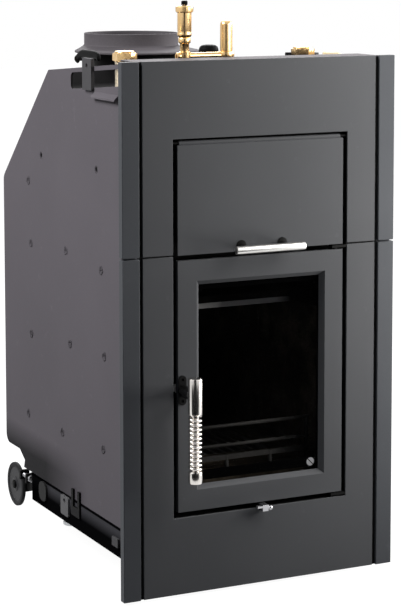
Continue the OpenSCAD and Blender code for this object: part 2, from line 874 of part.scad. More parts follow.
module stub_cap(x) {
  difference() {
    union() {
      bar_z_dir(cap_z - cap_h, cap_z - 3, x, fit_y, cap_af / 2 / cos(30), 6);
      bar_z_dir(cap_z - 3, cap_z, x, fit_y, cap_af / 2 - 1);
    }
    bar_z_dir(cap_z - cap_h - e, stub_z, x, fit_y, stub_r + slip);
  }
}

module stub_caps() {
  color("#c9a24c") placed() {
    stub_cap(-stub_left);
    stub_cap(stub_right);
  }
}

module vent_manifold() {
  color("#c09a46") placed() difference() {
    union() {
      bar_z_dir(deck_z, vent_low - vent_foot, -vent_x, fit_y, 8.5);
      bar_x(-vent_x - cross_end, -well_x, fit_y, cross_z, cross_r);
      bar_z_dir(deck_z, cross_z, -well_x, fit_y, 8.5);
      bar_z_dir(cross_z - cross_r - 1, cross_z + cross_r + 1, -well_x, fit_y, boss_r);
    }
    bar_x(-vent_x - cross_end - e, -vent_x - 5, fit_y, cross_z, cross_r - 2.8, 24);
  }
}

module vent_body() {
  x = -vent_x;
  y = fit_y;
  color("#caa552") placed() translate([x, y, 0]) rotate_extrude($fn = 64)
    polygon([[0, vent_low - vent_foot], [8, vent_low - vent_foot], [8, vent_low - 12],
      [10.5, vent_low - 10],
      [10.5, vent_low - 4], [vent_r - 1.5, vent_low], [vent_r, vent_low + 2],
      [vent_r, vent_top - 2], [vent_head_r - 1, vent_top], [vent_head_r, vent_top + 2],
      [vent_head_r, vent_head_z - 3], [vent_head_r - 2.5, vent_head_z], [2, vent_head_z],
      [2, vent_cap_z - 3.5], [0, vent_cap_z - 3.5]]);
}

module vent_cap() {
  color("#141414") placed() difference() {
    translate([-vent_x, fit_y, 0]) rotate_extrude($fn = 48)
      polygon([[0, vent_head_z + gap], [vent_cap_r, vent_head_z + gap],
        [vent_cap_r, vent_cap_z - 1], [vent_cap_r - 1, vent_cap_z], [0, vent_cap_z]]);
    bar_z_dir(vent_head_z - 1, vent_cap_z - 3.5 + gap, -vent_x, fit_y, 2 + run_gap, 32);
  }
}

module sensor_well() {
  color("#c9a650") placed() translate([-well_x, fit_y, 0]) rotate_extrude($fn = 64)
    polygon([[0, cross_z + cross_r + 1], [well_r, cross_z + cross_r + 1], [well_r, well_z - 6],
      [well_r - 1.8, well_z - 2.4], [well_r - 5, well_z - 0.6], [well_r - 8, well_z],
      [0, well_z]]);
}

module side_cap() {
  color("#d8cba4") placed() difference() {
    bar_z_dir(side_z - 24, side_z, side_x, side_y, side_r);
    bar_z_dir(side_z - 25, side_z - 6, side_x, side_y, stub_r - 4 + slip);
  }
}

module coil_stub() {
  color("#1a1a1a") placed() {
    bar_z_dir(deck_z, side_z - 12, coil_x, fit_y - 2, coil_stub_r - 1);
    bar_z_dir(side_z - 12, side_z, coil_x, fit_y - 2, coil_stub_r);
  }
}

module hatch_cover() {
  color("#58595b") placed() {
    block(-hatch_w / 2, hatch_w / 2, hatch_y - 30, hatch_y - 30 + hatch_l, deck_z,
      deck_z + hatch_t);
    for (x = [-hatch_w / 2 + 12, hatch_w / 2 - 12]) for (y = [hatch_y - 18, hatch_y + hatch_l - 42])
      bar_z_dir(deck_z + hatch_t, deck_z + hatch_t + 6, x, y, 7.5, 6);
  }
}

module hatch_knob() {
  z = hatch_knob_z;
  r = hatch_knob_r;
  color("#161616") placed() translate([0, hatch_y, 0]) rotate_extrude($fn = 48)
    polygon([[0, deck_z + hatch_t], [11, deck_z + hatch_t], [11, deck_z + hatch_t + 3],
      [5, deck_z + hatch_t + 5], [5, z - 20], [r - 2, z - 17], [r, z - 13], [r, z - 8],
      [r - 2, z - 4], [r - 6, z - 1.2], [r - 11, z], [0, z]]);
}

// Base box, tabs, feet, wheels and air spigot
module base_frame() {
  color("#4b4c4e") placed() difference() {
    block(-half_body, half_body, base_y, base_end, base_z, body_low);
    block(-half_body + base_t, half_body - base_t, base_y + base_t, base_end - base_t,
      base_z + base_t, body_low + e);
    for (x = [-foot_x, foot_x]) for (y = [base_y + foot_in, base_end - foot_in])
      bar_z_dir(base_z - e, base_z + base_t + e, x, y, stud_r + slip);
    bar_z_dir(base_z - e, base_z + base_t + e, 0, air_y, air_r - air_t, 96);
  }
}

// Tab on the base box: middle behind the front, middle height, width, height, corner radius
module tab(y, z, w, h, r) {
  a = w / 2;
  b = h / 2;
  side_sheet(half_body, half_body + tab_t,
    rounded([[y - a, z - b], [y + a, z - b], [y + a, z + b], [y - a, z + b]], [r, r, r, r]));
}

module side_tabs() {
  mid = (base_z + body_low) / 2 + 5;
  color("#77787a") placed() both_sides() {
    tab(tab_round, mid, tab_w, tab_w, tab_w * 0.4);
    difference() {
      tab(tab_holed, mid, tab_w, tab_w, 4);
      bar_x(half_body - e, half_body + tab_t + e, tab_holed, mid + 9, 4.5, 32);
    }
    difference() {
      tab(tab_fork, mid + 17, 38, fork_h, 1);
      block(half_body - e, half_body + tab_t + e, tab_fork - 10, tab_fork + 10,
        mid + 10, mid + fork_h);
    }
    tab(tab_front, mid - 6, 25, 16, 1);
  }
}

module levelling_feet() {
  color("#8f9193") placed() for (x = [-foot_x, foot_x])
    for (y = [base_y + foot_in, base_end - foot_in]) {
      bar_z_dir(0, pad_h, x, y, pad_r);
      bar_z_dir(pad_h, base_z + 24, x, y, stud_r);
      bar_z_dir(base_z - 9, base_z, x, y, 10.5, 6);
    }
}

module wheel_brackets() {
  x1 = bracket_x;
  x0 = x1 - bracket_t;
  lug_x = adjust_x + 2 * adjust_r;
  color("#3d3e40") placed() both_sides() difference() {
    union() {
      side_sheet(x0, x1, rounded([[base_end, base_z], [base_end + 50, base_z + 2],
        [wheel_y - 14, wheel_z - 15], [wheel_y + 14, wheel_z - 12], [wheel_y + 14, wheel_z + 12],
        [wheel_y - 30, wheel_z + 24], [notch_y + 3, body_low - 10], [notch_y + 3, body_low],
        [base_end, body_low]], [0, 0, 8, 10, 10, 6, 4, 0, 0]));
      for (y = [adjust_y, adjust_y + adjust_span])
        block(x1 - 1, lug_x, y, y + adjust_lug, adjust_z - 9, adjust_z + 9);
    }
    bar_x(x0 - e, x1 + e, wheel_y, wheel_z, axle_r + slip);
    bar_y_dir(adjust_y - e, adjust_y + adjust_span + adjust_lug + e, adjust_x, adjust_z,
      adjust_r + slip, 32);
  }
}

// Axle bolts of the wheels and the two adjusting bolts beside them
module wheel_bolts() {
  x1 = bracket_x;
  color("#a9abad") placed() both_sides() {
    bar_x(x1 - bracket_t - 8, wheel_x + gap, wheel_y, wheel_z, axle_r);
    bar_x(wheel_x + gap, wheel_x + 4, wheel_y, wheel_z, axle_r + 3.5);
    bar_x(x1 + slip, x1 + 2 - gap, wheel_y, wheel_z, axle_r + 3);
    bar_y_dir(adjust_y - adjust_lug, adjust_y - adjust_lug + adjust_l, adjust_x, adjust_z,
      adjust_r, 32);
    bar_y_dir(adjust_y - adjust_lug, adjust_y, adjust_x, adjust_z, adjust_r * 1.7, 6);
  }
}

module wheel() {
  x0 = wheel_x - wheel_w;
  placed() difference() {
    translate([x0, wheel_y, wheel_z]) rotate([0, 90, 0]) rotate_extrude($fn = 72)
      polygon([[axle_r + run_gap, 0.5], [14, 0.5], [15, 1.8], [wheel_r - 9, 1.8],
        [wheel_r - 7, 0], [wheel_r - 1.5, 0], [wheel_r, 1.5], [wheel_r, wheel_w - 1.5],
        [wheel_r - 1.5, wheel_w], [wheel_r - 7, wheel_w], [wheel_r - 9, wheel_w - 1.8],
        [15, wheel_w - 1.8], [14, wheel_w - 0.5], [axle_r + run_gap, wheel_w - 0.5]]);
  }
}

module wheel_left() {
  color("#232324") mirror([1, 0, 0]) wheel();
}

module wheel_right() {
  color("#232324") wheel();
}

module air_spigot() {
  color("#8c8e90") placed() difference() {
    union() {
      bar_z_dir(base_z - air_l, base_z - air_t, 0, air_y, air_r, 96);
      bar_z_dir(base_z - air_t, base_z, 0, air_y, air_r + 10, 96);
    }
    bar_z_dir(base_z - air_l - e, base_z + e, 0, air_y, air_r - air_t, 96);
  }
}

// Lining of the fire chamber
module bricks_side() {
  x1 = half_fire - fire_t;
  y_half = (brick_y + brick_end) / 2;
  color("#b9a98c") placed() both_sides() {
    block(x1 - brick_t, x1, brick_y, y_half - brick_joint / 2, floor_z, brick_top);
    block(x1 - brick_t, x1, y_half + brick_joint / 2, brick_end, floor_z, brick_top);
  }
}

module bricks_rear() {
  x1 = half_fire - fire_t - brick_t - slip;
  color("#b3a386") placed() difference() {
    both_sides() block(brick_joint / 2, x1, brick_end - brick_t, brick_end, floor_z, brick_top);
    for (x = [-90, -54, -18, 18, 54, 90])
      bar_y_dir(brick_end - brick_t - e, brick_end + e, x, floor_z + jet_h, jet_r, 24);
  }
}

module bricks_floor() {
  x1 = half_fire - fire_t - 1;
  w = grate_w / 2;
  l = grate_l / 2;
  color("#a89878") placed() difference() {
    block(-x1, x1, guard_y - 6, brick_end, floor_z - brick_t, floor_z);
    block(-w + 10, w - 10, grate_y - l + 10, grate_y + l - 10, floor_z - brick_t - e, floor_z + e);
    block(-w - 1, w + 1, grate_y - l - 1, grate_y + l + 1, floor_z - 12, floor_z + e);
  }
}

module baffle_plate() {
  x1 = half_fire - fire_t - 2;
  color("#9d9078") placed() block(-x1, x1, baffle_y, brick_end, brick_top, brick_top + baffle_t);
}

module grate() {
  w = grate_w / 2;
  l = grate_l / 2;
  pitch = (grate_w - 24) / grate_n;
  color("#39393a") placed() difference() {
    block(-w, w, grate_y - l, grate_y + l, floor_z - 12, floor_z - 12 + grate_t);
    for (i = [0:grate_n - 1])
      block(-w + 12 + pitch * i + 3, -w + 12 + pitch * (i + 1) - 3, grate_y - l + 14,
        grate_y + l - 14, floor_z - 13, floor_z);
  }
}

module ash_pan() {
  x = pan_w / 2;
  y0 = floor_cut_y() + 12;
  color("#5c5d5f") placed() difference() {
    union() {
      block(-x, x, y0, y0 + pan_l, pan_z, pan_z + pan_h);
      block(-x - 6, x + 6, y0, y0 + pan_l, pan_z + pan_h - pan_t, pan_z + pan_h);
    }
    block(-x + pan_t, x - pan_t, y0 + pan_t, y0 + pan_l - pan_t, pan_z + pan_t, pan_z + pan_h + e);
  }
}

module log_guard() {
  x = guard_l / 2;
  color("#4a4643") placed() {
    bar_x(-x, x, guard_y, guard_top, guard_r, 24);
    bar_x(-x, x, guard_y, guard_mid, guard_r, 24);
    block(-x, x, guard_y - 3, guard_y + 3, guard_low - 4, guard_low + 4);
    for (p = [-x + 4, -42, 42, x - 4])
      bar_z_dir(floor_z, guard_top, p, guard_y, 3.6, 24);
  }
}

// Hinges
module hinge_bracket(z0, z1, pin0, pin1) {
  difference() {
    block(hinge_x - 8, half_open, hinge_y - 5, hinge_y + 7, z0, z1);
  }
  bar_z_dir(pin0, pin1, hinge_x, hinge_y, hinge_r);
}

module hinge_brackets() {
  lo = door_lo - 2.5;
  hi = door_hi + 2.5;
  color("#4d4e50") placed() {
    hinge_bracket(lo - hinge_bracket_t, lo, lo - e, door_lo + hinge_l - gap);
    hinge_bracket(hi, hi + hinge_bracket_t, door_hi - hinge_l + gap, hi + e);
  }
}

module flap_hinge_rod() {
  x = half_open + reveal_t - 1;
  color("#9a9c9e") placed() bar_x(-x, x, rod_y, rod_z, rod_r, 32);
}

// Fire door
module window_cut() {
  b = bevel;
  w = window_half;
  hull() {
    block(-w, w, plate_y - e, plate_y, window_lo, window_hi);
    block(-w + b, w - b, door_back - 1, door_back + e, window_lo + b, window_hi - b);
  }
}

module inner_ring(y0, y1, half, lo, hi, t) {
  difference() {
    block(-half, half, y0, y1, lo, hi);
    block(-half + t, half - t, y0 - e, y1 + e, lo + t, hi - t);
  }
}

module door_frame() {
  k0 = hinge_x - 8;
  k1 = hinge_x + 7.5;
  color("#66686b") placed() difference() {
    union() {
      block(-door_half, door_half, plate_y, door_back, door_lo, door_hi);
      inner_ring(door_back - e, inner_back, inner_half, inner_lo, inner_hi, inner_t);
      inner_ring(inner_back - 3, inner_back, inner_half, inner_lo, inner_hi, 13);
      block(k0, k1, door_back - e, hinge_y + 7, door_lo, door_lo + hinge_l + 3);
      block(k0, k1, door_back - e, hinge_y + 7, door_hi - hinge_l - 3, door_hi);
    }
    window_cut();
    bar_z_dir(door_lo - e, door_lo + hinge_l, hinge_x, hinge_y, hinge_r + run_gap);
    bar_z_dir(door_hi - hinge_l, door_hi + e, hinge_x, hinge_y, hinge_r + run_gap);
    bar_y_dir(plate_y - e, door_back + e, -latch_x, latch_z, spindle_r + run_gap);
  }
}

module door_glass() {
  w = window_half - bevel + glass_lap;
  color("#1d2022") placed() block(-w, w, door_back, door_back + glass_t,
    window_lo + bevel - glass_lap, window_hi - bevel + glass_lap);
}

module glass_retainers() {
  w = window_half - bevel;
  y = door_back + glass_t;
  color("#7b7c7e") placed() {
    block(-w + 5, w - 5, y, y + 2, window_lo + bevel + 4, window_lo + bevel + 21);
    block(-w + 5, w - 5, y, y + 2, window_hi - bevel - 9, window_hi - bevel + 6);
    for (x = [-w + 12, 0, w - 12]) {
      bar_y_dir(y + 2, y + 5, x, window_lo + bevel + 13, x == 0 ? 4.4 : screw_r, 32);
      bar_y_dir(y + 2, y + 5, x, window_hi - bevel - 2, 4.4, 24);
    }
    both_sides() block(w + 3, inner_half - inner_t, y, y + 2, window_lo + 60, window_lo + 90);
    both_sides() block(w + 3, inner_half - inner_t, y, y + 2, window_hi - 90, window_hi - 60);
    both_sides() for (z = [window_lo + 10, window_hi - 22])
      block(w - 8, inner_half - inner_t, y, y + 2, z, z + 12);
  }
}

module door_gasket() {
  color("#8d8a82") placed() inner_ring(inner_back, seat_y - gap - 0.2, inner_half - 1.5,
    inner_lo + 1.5, inner_hi - 1.5, rope_t);
}

// Latch
module latch_rosette() {
  r = 7;
  z0 = latch_z - rosette_h / 2 + r;
  z1 = latch_z + rosette_h / 2 - r;
  y0 = plate_y - rosette_t;
  color("#7f8184") placed() difference() {
    union() {
      block(-latch_x - r, -latch_x + r, y0, plate_y, z0, z1);
      bar_y_dir(y0, plate_y, -latch_x, z0, r, 32);
      bar_y_dir(y0, plate_y, -latch_x, z1, r, 32);
    }
    bar_y_dir(y0 - e, plate_y + e, -latch_x, latch_z, spindle_r + run_gap);
    bar_y_dir(y0 - e, plate_y - 0.8, -latch_x, z0, 2.6, 24);
    bar_y_dir(y0 - e, plate_y - 0.8, -latch_x, z1, 2.6, 24);
  }
}

module latch_shaft() {
  color("#141414") placed() {
    difference() {
      bar_y_dir(-grip_y, plate_y - rosette_t - gap, -latch_x, latch_z, shaft_r);
      bar_z_dir(latch_z - 30, latch_z + 30, -latch_x, -grip_y, grip_r);
    }
    bar_y_dir(plate_y - rosette_t - gap, door_back + gap + tongue_t, -latch_x, latch_z, spindle_r);
  }
}

module latch_tongue() {
  y0 = door_back + gap;
  color("#b7b8ba") placed() difference() {
    union() {
      bar_y_dir(y0, y0 + tongue_t, -latch_x, latch_z, 8.5);
      intersection() {
        bar_y_dir(y0, y0 + tongue_t, -latch_x, latch_z, tongue_r);
        block(-latch_x - 20, -latch_x, y0, y0 + tongue_t, latch_z - 3, latch_z + 9);
      }
    }
    bar_y_dir(y0 - e, y0 + tongue_t + e, -latch_x, latch_z, spindle_r + slip);
  }
}

module grip_core() {
  color("#c9cbcd") placed() {
    bar_z_dir(latch_z - grip_smooth, latch_z + grip_up, -latch_x, -grip_y, grip_r, 64);
    bar_z_dir(latch_z - coil_down, latch_z - grip_smooth, -latch_x, -grip_y, core_r, 32);
  }
}

// Centre line of the coil: turns, then the ring of a cross section about it
function coil_at(i, n) = let (a = 360 * coil_turns * i / n)
  [coil_r * cos(a), coil_r * sin(a), -coil_pitch * coil_turns * i / n];
function coil_ring(i, n, s) = let (a = 360 * coil_turns * i / n, c = coil_at(i, n))
  [for (k = [0:s - 1]) let (b = 360 * k / s)
    c + wire_r * [cos(b) * cos(a), cos(b) * sin(a), sin(b)]];

// Least gap between two turns, measured on the points of the rings
function ring_gap(i, j, n, s) = min([for (p = coil_ring(i, n, s), q = coil_ring(j, n, s))
  norm(p - q)]);
function coil_gap(n, s) = min([for (i = [0:n - 7]) for (j = [i + 7:1:min(n, i + 9)])
  ring_gap(i, j, n, s)]);

module grip_spiral() {
  n = coil_turns * 8;
  s = 6;
  points = [for (i = [0:n]) each coil_ring(i, n, s)];
  sides = [for (i = [0:n - 1], k = [0:s - 1]) each
    [[i * s + k, (i + 1) * s + k, (i + 1) * s + (k + 1) % s],
     [i * s + k, (i + 1) * s + (k + 1) % s, i * s + (k + 1) % s]]];
  ends = [for (k = [1:s - 2]) each
    [[0, k, k + 1], [n * s, n * s + k + 1, n * s + k]]];
  echo(least_gap_of_the_coil_mm = coil_gap(n, s));
  color("#c3c5c7") placed()
    translate([-latch_x, -grip_y, latch_z - grip_smooth - wire_r - 0.6])
      polyhedron(points = points, faces = concat(sides, ends), convexity = 10);
}

module grip_cap() {
  color("#c9cbcd") placed() translate([-latch_x, -grip_y, 0]) rotate_extrude($fn = 64)
    polygon([[0, latch_z - grip_down], [grip_r - 1.5, latch_z - grip_down],
      [grip_r, latch_z - grip_down + 1.5], [grip_r, latch_z - coil_down],
      [0, latch_z - coil_down]]);
}

// Cleaning flap
module flap_panel() {
  h = door_half;
  color("#66686b") placed() difference() {
    union() {
      block(-h, h, plate_y, plate_y + 4, flap_lo, flap_hi);
      block(-inner_half, inner_half, plate_y + 3.5, inner_back, flap_inner_lo, flap_inner_hi);
      bar_x(-h + 4, h - 4, rod_y, rod_z, lug_r);
      block(-h + 4, h - 4, rod_y - lug_r, rod_y + lug_r, flap_hi - 8, rod_z);
      inner_ring(inner_back - e, seat_y - gap - 0.2, inner_half - 1.5, flap_inner_lo + 1.5,
        flap_inner_hi - 1.5, rope_t);
    }
    bar_x(-h, h, rod_y, rod_z, rod_r + run_gap);
  }
}

module flap_posts() {
  color("#161616") placed() difference() {
    for (x = [-post_x, post_x]) bar_y_dir(-bar_y, plate_y, x, bar_z, post_r, 32);
    bar_x(-bar_l / 2, bar_l / 2, -bar_y, bar_z, bar_r);
  }
}

module flap_bar() {
  color("#cfd1d3") placed() bar_x(-bar_l / 2, bar_l / 2, -bar_y, bar_z, bar_r);
}

// Air lever: handle with a ball, stem and slide plate over the air slots
module air_lever() {
  y1 = floor_cut_y() + duct_l;
  z0 = floor_top + gap;
  w = knob_w / 2;
  color("#cfd1d4") placed() difference() {
    union() {
      block(-w, stem_w / 2, -knob_out, -knob_out + 8, knob_z + 2, knob_z + 5.5);
      block(-stem_w / 2, stem_w / 2 - 1, -knob_out, plate_y - gap - 1, knob_z - 4, knob_z + 6.5);
      bar_x(0, w - ball_r, -knob_out + ball_r, knob_z, 2.5, 24);
      translate([w - ball_r, -knob_out + ball_r, knob_z]) sphere(r = ball_r, $fn = 40);
      block(-stem_w / 2, stem_w / 2, plate_y - 3, air_stem_y + 4, stem_z, stem_z + stem_h);
      block(-stem_w / 2, stem_w / 2, air_stem_y, air_stem_y + 4, z0, stem_z + stem_h);
      block(-duct_half - 18, duct_half + 18, air_stem_y, y1, z0, z0 + 3);
    }
    for (x = [-duct_pitch, 0, duct_pitch])
      block(x - 12, x + 12, floor_cut_y() + 14, y1 - 14, z0 - e, z0 + 4);
  }
}

front_plate_upper();
front_plate_lower();
trim_left_upper();
trim_left_lower();
trim_right_upper();
trim_right_lower();
portal_frame();
top_cover();
boiler_shell();
side_panels();
firebox_shell();
stay_pins();
lifting_lugs();
flue_neck();
flue_hood();
flue_collar();
damper_flap();
damper_lever();
water_stubs();
stub_caps();
vent_manifold();
vent_body();
vent_cap();
sensor_well();
side_cap();
coil_stub();
hatch_cover();
hatch_knob();
base_frame();
side_tabs();
levelling_feet();
wheel_brackets();
wheel_bolts();
wheel_left();
wheel_right();
air_spigot();
bricks_side();
bricks_rear();
bricks_floor();
baffle_plate();
grate();
ash_pan();
log_guard();
hinge_brackets();
latch_keeper();
flap_hinge_rod();
door_frame();
door_glass();
glass_retainers();
door_gasket();
latch_rosette();
latch_shaft();
latch_tongue();
grip_core();
grip_spiral();
grip_cap();
flap_panel();
flap_posts();
flap_bar();
air_lever();
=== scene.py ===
# %% [markdown]
# # A tiled stove insert
# The insert is a welded steel boiler behind a flush grey front: a glazed fire door, a cleaning
# flap, brass water fittings on top and two transport wheels at the rear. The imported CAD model
# gives every place and size. This script adds what CAD leaves out: softened sheet edges, real
# round forms, threads, welds, and a finish for every surface.

# %% Load the frame
import json
import math

import bmesh
import bpy
import numpy as np
from mathutils import Matrix, Vector

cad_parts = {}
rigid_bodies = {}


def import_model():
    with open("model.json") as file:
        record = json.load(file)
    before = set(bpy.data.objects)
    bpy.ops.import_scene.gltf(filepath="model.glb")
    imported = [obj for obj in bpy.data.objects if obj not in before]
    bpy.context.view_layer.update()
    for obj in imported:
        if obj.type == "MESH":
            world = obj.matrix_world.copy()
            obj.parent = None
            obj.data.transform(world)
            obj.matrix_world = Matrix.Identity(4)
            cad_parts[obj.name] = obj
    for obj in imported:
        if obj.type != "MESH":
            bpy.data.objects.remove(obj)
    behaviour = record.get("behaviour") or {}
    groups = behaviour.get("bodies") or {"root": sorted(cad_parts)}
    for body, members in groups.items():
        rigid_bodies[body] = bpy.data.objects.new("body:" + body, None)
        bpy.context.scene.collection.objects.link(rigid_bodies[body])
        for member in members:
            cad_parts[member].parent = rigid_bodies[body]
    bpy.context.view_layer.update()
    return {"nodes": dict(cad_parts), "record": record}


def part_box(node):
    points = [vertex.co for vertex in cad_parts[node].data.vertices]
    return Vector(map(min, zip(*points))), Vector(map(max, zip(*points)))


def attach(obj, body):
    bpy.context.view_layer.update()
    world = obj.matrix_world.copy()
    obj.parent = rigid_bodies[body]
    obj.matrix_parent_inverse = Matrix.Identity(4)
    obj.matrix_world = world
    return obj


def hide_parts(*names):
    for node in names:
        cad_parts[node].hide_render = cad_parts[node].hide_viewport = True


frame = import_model()
front_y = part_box("trim_left_upper")[0][1]
packed_finishes, packed_objects = len(bpy.data.materials), len(bpy.data.objects)
print("CAD nodes:", len(frame["nodes"]), "- front face at y =", round(front_y, 4))

# %% [markdown]
# ## Places
# A stove fitter measures in millimetres: x from the middle, y behind the front face, z above the
# floor. Blender wants metres in the CAD frame. Typed metres would be hard to check, so every
# place below is in the fitter's millimetres, and one helper turns whole arrays of them.

# %% Places
def at(x, y, z):
    """Metres in the frame, from millimetres: x/1000, front face + y/1000, z/1000."""
    return np.stack(np.broadcast_arrays(
        np.asarray(x, float) / 1000, front_y + np.asarray(y, float) / 1000,
        np.asarray(z, float) / 1000), axis=-1)


print("front face, 900 mm up:", at(0, 0, 900))

# %% [markdown]
# ## Shader maths
# A finish is a formula of the place on the piece. Linking it up node by node hides the formula,
# so this class wraps a socket: sums and products of masks are then written as Python expressions
# and become Math nodes.

# %% Shader maths
class Wire:
    def __init__(self, tree, socket):
        self.tree, self.socket = tree, socket

    def node(self, kind, settings=None, sockets=None, out=0):
        """Adds one node: its settings first, then values or links of its sockets."""
        n = self.tree.nodes.new(kind)
        for key, value in (settings or {}).items():
            setattr(n, key, value)
        for key, value in (sockets or {}).items():
            if isinstance(value, Wire):
                self.tree.links.new(value.socket, n.inputs[key])
            else:
                n.inputs[key].default_value = value
        return Wire(self.tree, n.outputs[out])

    def math(self, operation, a, b=0.0, clamp=False):
        return self.node("ShaderNodeMath", {"operation": operation, "use_clamp": clamp},
                         {0: a, 1: b})

    def __add__(self, other): return self.math("ADD", self, other)
    def __radd__(self, other): return self.math("ADD", other, self)
    def __sub__(self, other): return self.math("SUBTRACT", self, other)
    def __rsub__(self, other): return self.math("SUBTRACT", other, self)
    def __mul__(self, other): return self.math("MULTIPLY", self, other)
    def __rmul__(self, other): return self.math("MULTIPLY", other, self)

    def above(self, edge, soft):
        """0 below edge, 1 above edge + soft, straight between."""
        return self.math("MULTIPLY", self - edge, 1 / soft, clamp=True)

    def below(self, edge, soft):
        """1 below edge, 0 above edge + soft, straight between."""
        return self.math("MULTIPLY", edge + soft - self, 1 / soft, clamp=True)

    def axis(self, k):
        """One coordinate of a place: 0, 1 or 2."""
        return self.node("ShaderNodeSeparateXYZ", sockets={"Vector": self}, out=k)

    def size(self):
        """The value without its sign."""
        return self.math("ABSOLUTE", self)

    def mix(self, low, high):
        """Colour from low at 0 to high at 1, by this value; each is a Wire or a colour."""
        low, high = (c if isinstance(c, Wire) else (*c, 1) for c in (low, high))
        return self.node("ShaderNodeMix", {"data_type": "RGBA"}, {0: self, 6: low, 7: high},
                         out=2)


# %% [markdown]
# ## The start of a finish
# Every finish is one Principled shader. What is the same all over is a number on the shader's own
# socket, which any program reads. What changes from place to place is noise on Object
# coordinates: it lies still when a piece moves, and needs no UV map.

# %% The start of a finish
def finish(name, **fixed):
    """A new material, its tree and shader with the fixed values set, and its place wire."""
    material = bpy.data.materials.new(name)
    material.use_nodes = True
    tree = material.node_tree
    shader = tree.nodes["Principled BSDF"]
    for key, value in fixed.items():
        shader.inputs[key.replace("_", " ")].default_value = value
    start = Wire(tree, shader.outputs[0])
    return material, tree, shader, start.node("ShaderNodeTexCoord", out="Object")


def noise(place, scale, detail=4.0, rough=0.55, stretch=None):
    """Noise on Object coordinates; stretch squeezes the pattern along an axis."""
    if stretch:
        place = place.node("ShaderNodeMapping", sockets={"Vector": place, "Scale": stretch})
    return place.node("ShaderNodeTexNoise", sockets={
        "Vector": place, "Scale": scale, "Detail": detail, "Roughness": rough})


def wear(tree, shader, colour, roughness=None, height=None, strength=0.2, depth=0.0003):
    """Links what varies: colour, roughness, and height times depth, in metres, for the bump."""
    tree.links.new(colour.socket, shader.inputs["Base Color"])
    if roughness is not None:
        tree.links.new(roughness.socket, shader.inputs["Roughness"])
    if height is not None:
        bump = height.node("ShaderNodeBump", sockets={
            "Height": height, "Strength": strength, "Distance": depth})
        tree.links.new(bump.socket, shader.inputs["Normal"])


# %% [markdown]
# ## Stove paint
# The front wears a smooth satin grey stove paint, the boiler body the same colour in a rougher,
# thinner coat over hot-rolled sheet. One plain grey would look like plastic. Large soft noise
# shifts the tone a little, and fine noise gives the grain of the sprayed coat and drives the
# bump. Zones lay other colours over the paint in places: several are painted shade, one is a
# painted highlight.

# %% Stove paint
def stove_paint(name, dark, light, rough, grain, dents, zones=(), shine=0.06):
    """Tone = 0.6 cloud + 0.4 speck, between dark and light; rough is the middle roughness.
    Zones are (mask of the place, colour) pairs that are laid over the paint in turn."""
    material, tree, shader, place = finish(name, IOR=1.45, Specular_IOR_Level=shine)
    cloud = noise(place, 3.2, 3.0)                     # patches about 300 mm wide
    speck = noise(place, grain, 2.0, 0.6)              # grain of the coat
    scuff = noise(place, 38.0, 6.0, 0.7).above(0.62, 0.10)
    tone = cloud * 0.6 + speck * 0.4
    rubbed = tuple(c * 1.5 for c in light)
    colour = (scuff * 0.25).mix(tone.above(0.25, 0.5).mix(dark, light), rubbed)
    for mask, shade in zones:
        colour = (mask(place) * (0.92 + speck * 0.08)).mix(colour, shade)
    sheet = noise(place, 9.0, 2.0)                     # shallow dents of the sheet
    wear(tree, shader, colour, speck * 0.12 + cloud * 0.10 + (rough - 0.11),
         sheet * dents + speck * 0.25, 0.35, 0.0006)
    return material


front_paint = stove_paint("front satin paint", (0.062, 0.064, 0.068), (0.078, 0.080, 0.085),
                          0.42, 900.0, 0.3)
trim_paint = stove_paint("trim satin paint", (0.053, 0.056, 0.062), (0.071, 0.075, 0.082),
                         0.40, 900.0, 0.3)
print("front paints:", front_paint.name, "and", trim_paint.name)

# %% [markdown]
# ## Zones
# A zone is a mask: a formula of the place that is 1 where another colour lies and 0 elsewhere,
# with a soft edge. A painted texture or vertex colours could do this too, but they need a UV map
# or a row of points where the edge runs. A mask needs only two numbers.

# %% Zones
X, Y, Z = 0, 1, 2


def band(axis, low, high, soft=0.001):
    """Mask between two places along an axis, in metres: 1 inside, fading to 0 at both ends."""
    return lambda place: (place.axis(axis).above(low, soft)
                          * place.axis(axis).below(high - soft, soft))


def behind_front(first, last, soft=0.004):
    """Mask of the places between two distances behind the front, in metres."""
    return band(Y, front_y + first, front_y + last, soft)


black = (0.006, 0.006, 0.006)
jet = (0.001, 0.001, 0.0012)
print("zone colours:", black, jet)

# %% [markdown]
# ## Paint of the body
# The side panels get painted shade along their lower rear edge and on their inner faces, which
# are painted black. The tray on top of the wrap is black, which is painted shade as well. A second
# material on cut faces would show a hard line, so each of these is a soft-edged zone of one paint.

# %% Paint of the body
def inner_face_painted_shade(place):
    """Mask of the side panels' inner faces, painted black as painted shade."""
    return place.axis(X).size().below(0.2168, 0.0005)


def lower_rear_painted_shade(place):
    """Mask of painted shade along the lower edge of a side panel, near its rear end."""
    rear = place.axis(Y).above(front_y + 0.25, 0.20) * place.axis(Y).below(front_y + 0.66, 0.02)
    return rear * place.axis(Z).below(0.134, 0.048)


def tray(place):
    """Mask of the tray on the wrap, in front of the slope; its black is painted shade."""
    return place.axis(Z).above(0.842, 0.001) * place.axis(Y).below(front_y + 0.4245, 0.001)


body_tones = (0.092, 0.084, 0.094), (0.124, 0.113, 0.126)
# The body paint carries painted shade: black on the inner faces, near black along the lower rear
# edge.
body_paint = stove_paint("body stove paint", *body_tones, 0.62, 420.0, 4.0,
                         [(inner_face_painted_shade, black), (lower_rear_painted_shade, (0.005, 0.005, 0.006))])
# The wrap paint carries painted shade: black on the tray.
wrap_paint = stove_paint("wrap stove paint", *body_tones, 0.62, 420.0, 4.0, [(tray, black)])
hood_paint = stove_paint("hood stove paint", (0.075, 0.068, 0.074), (0.110, 0.100, 0.108),
                         0.60, 300.0, 3.0)
lug_paint = stove_paint("lug paint", (0.052, 0.051, 0.054), (0.076, 0.074, 0.078),
                        0.6, 420.0, 2.0)
weld_paint = stove_paint("paint on welds", (0.050, 0.046, 0.051), (0.100, 0.092, 0.102),
                         0.7, 300.0, 4.0)
print("body paints share the tones", body_tones)
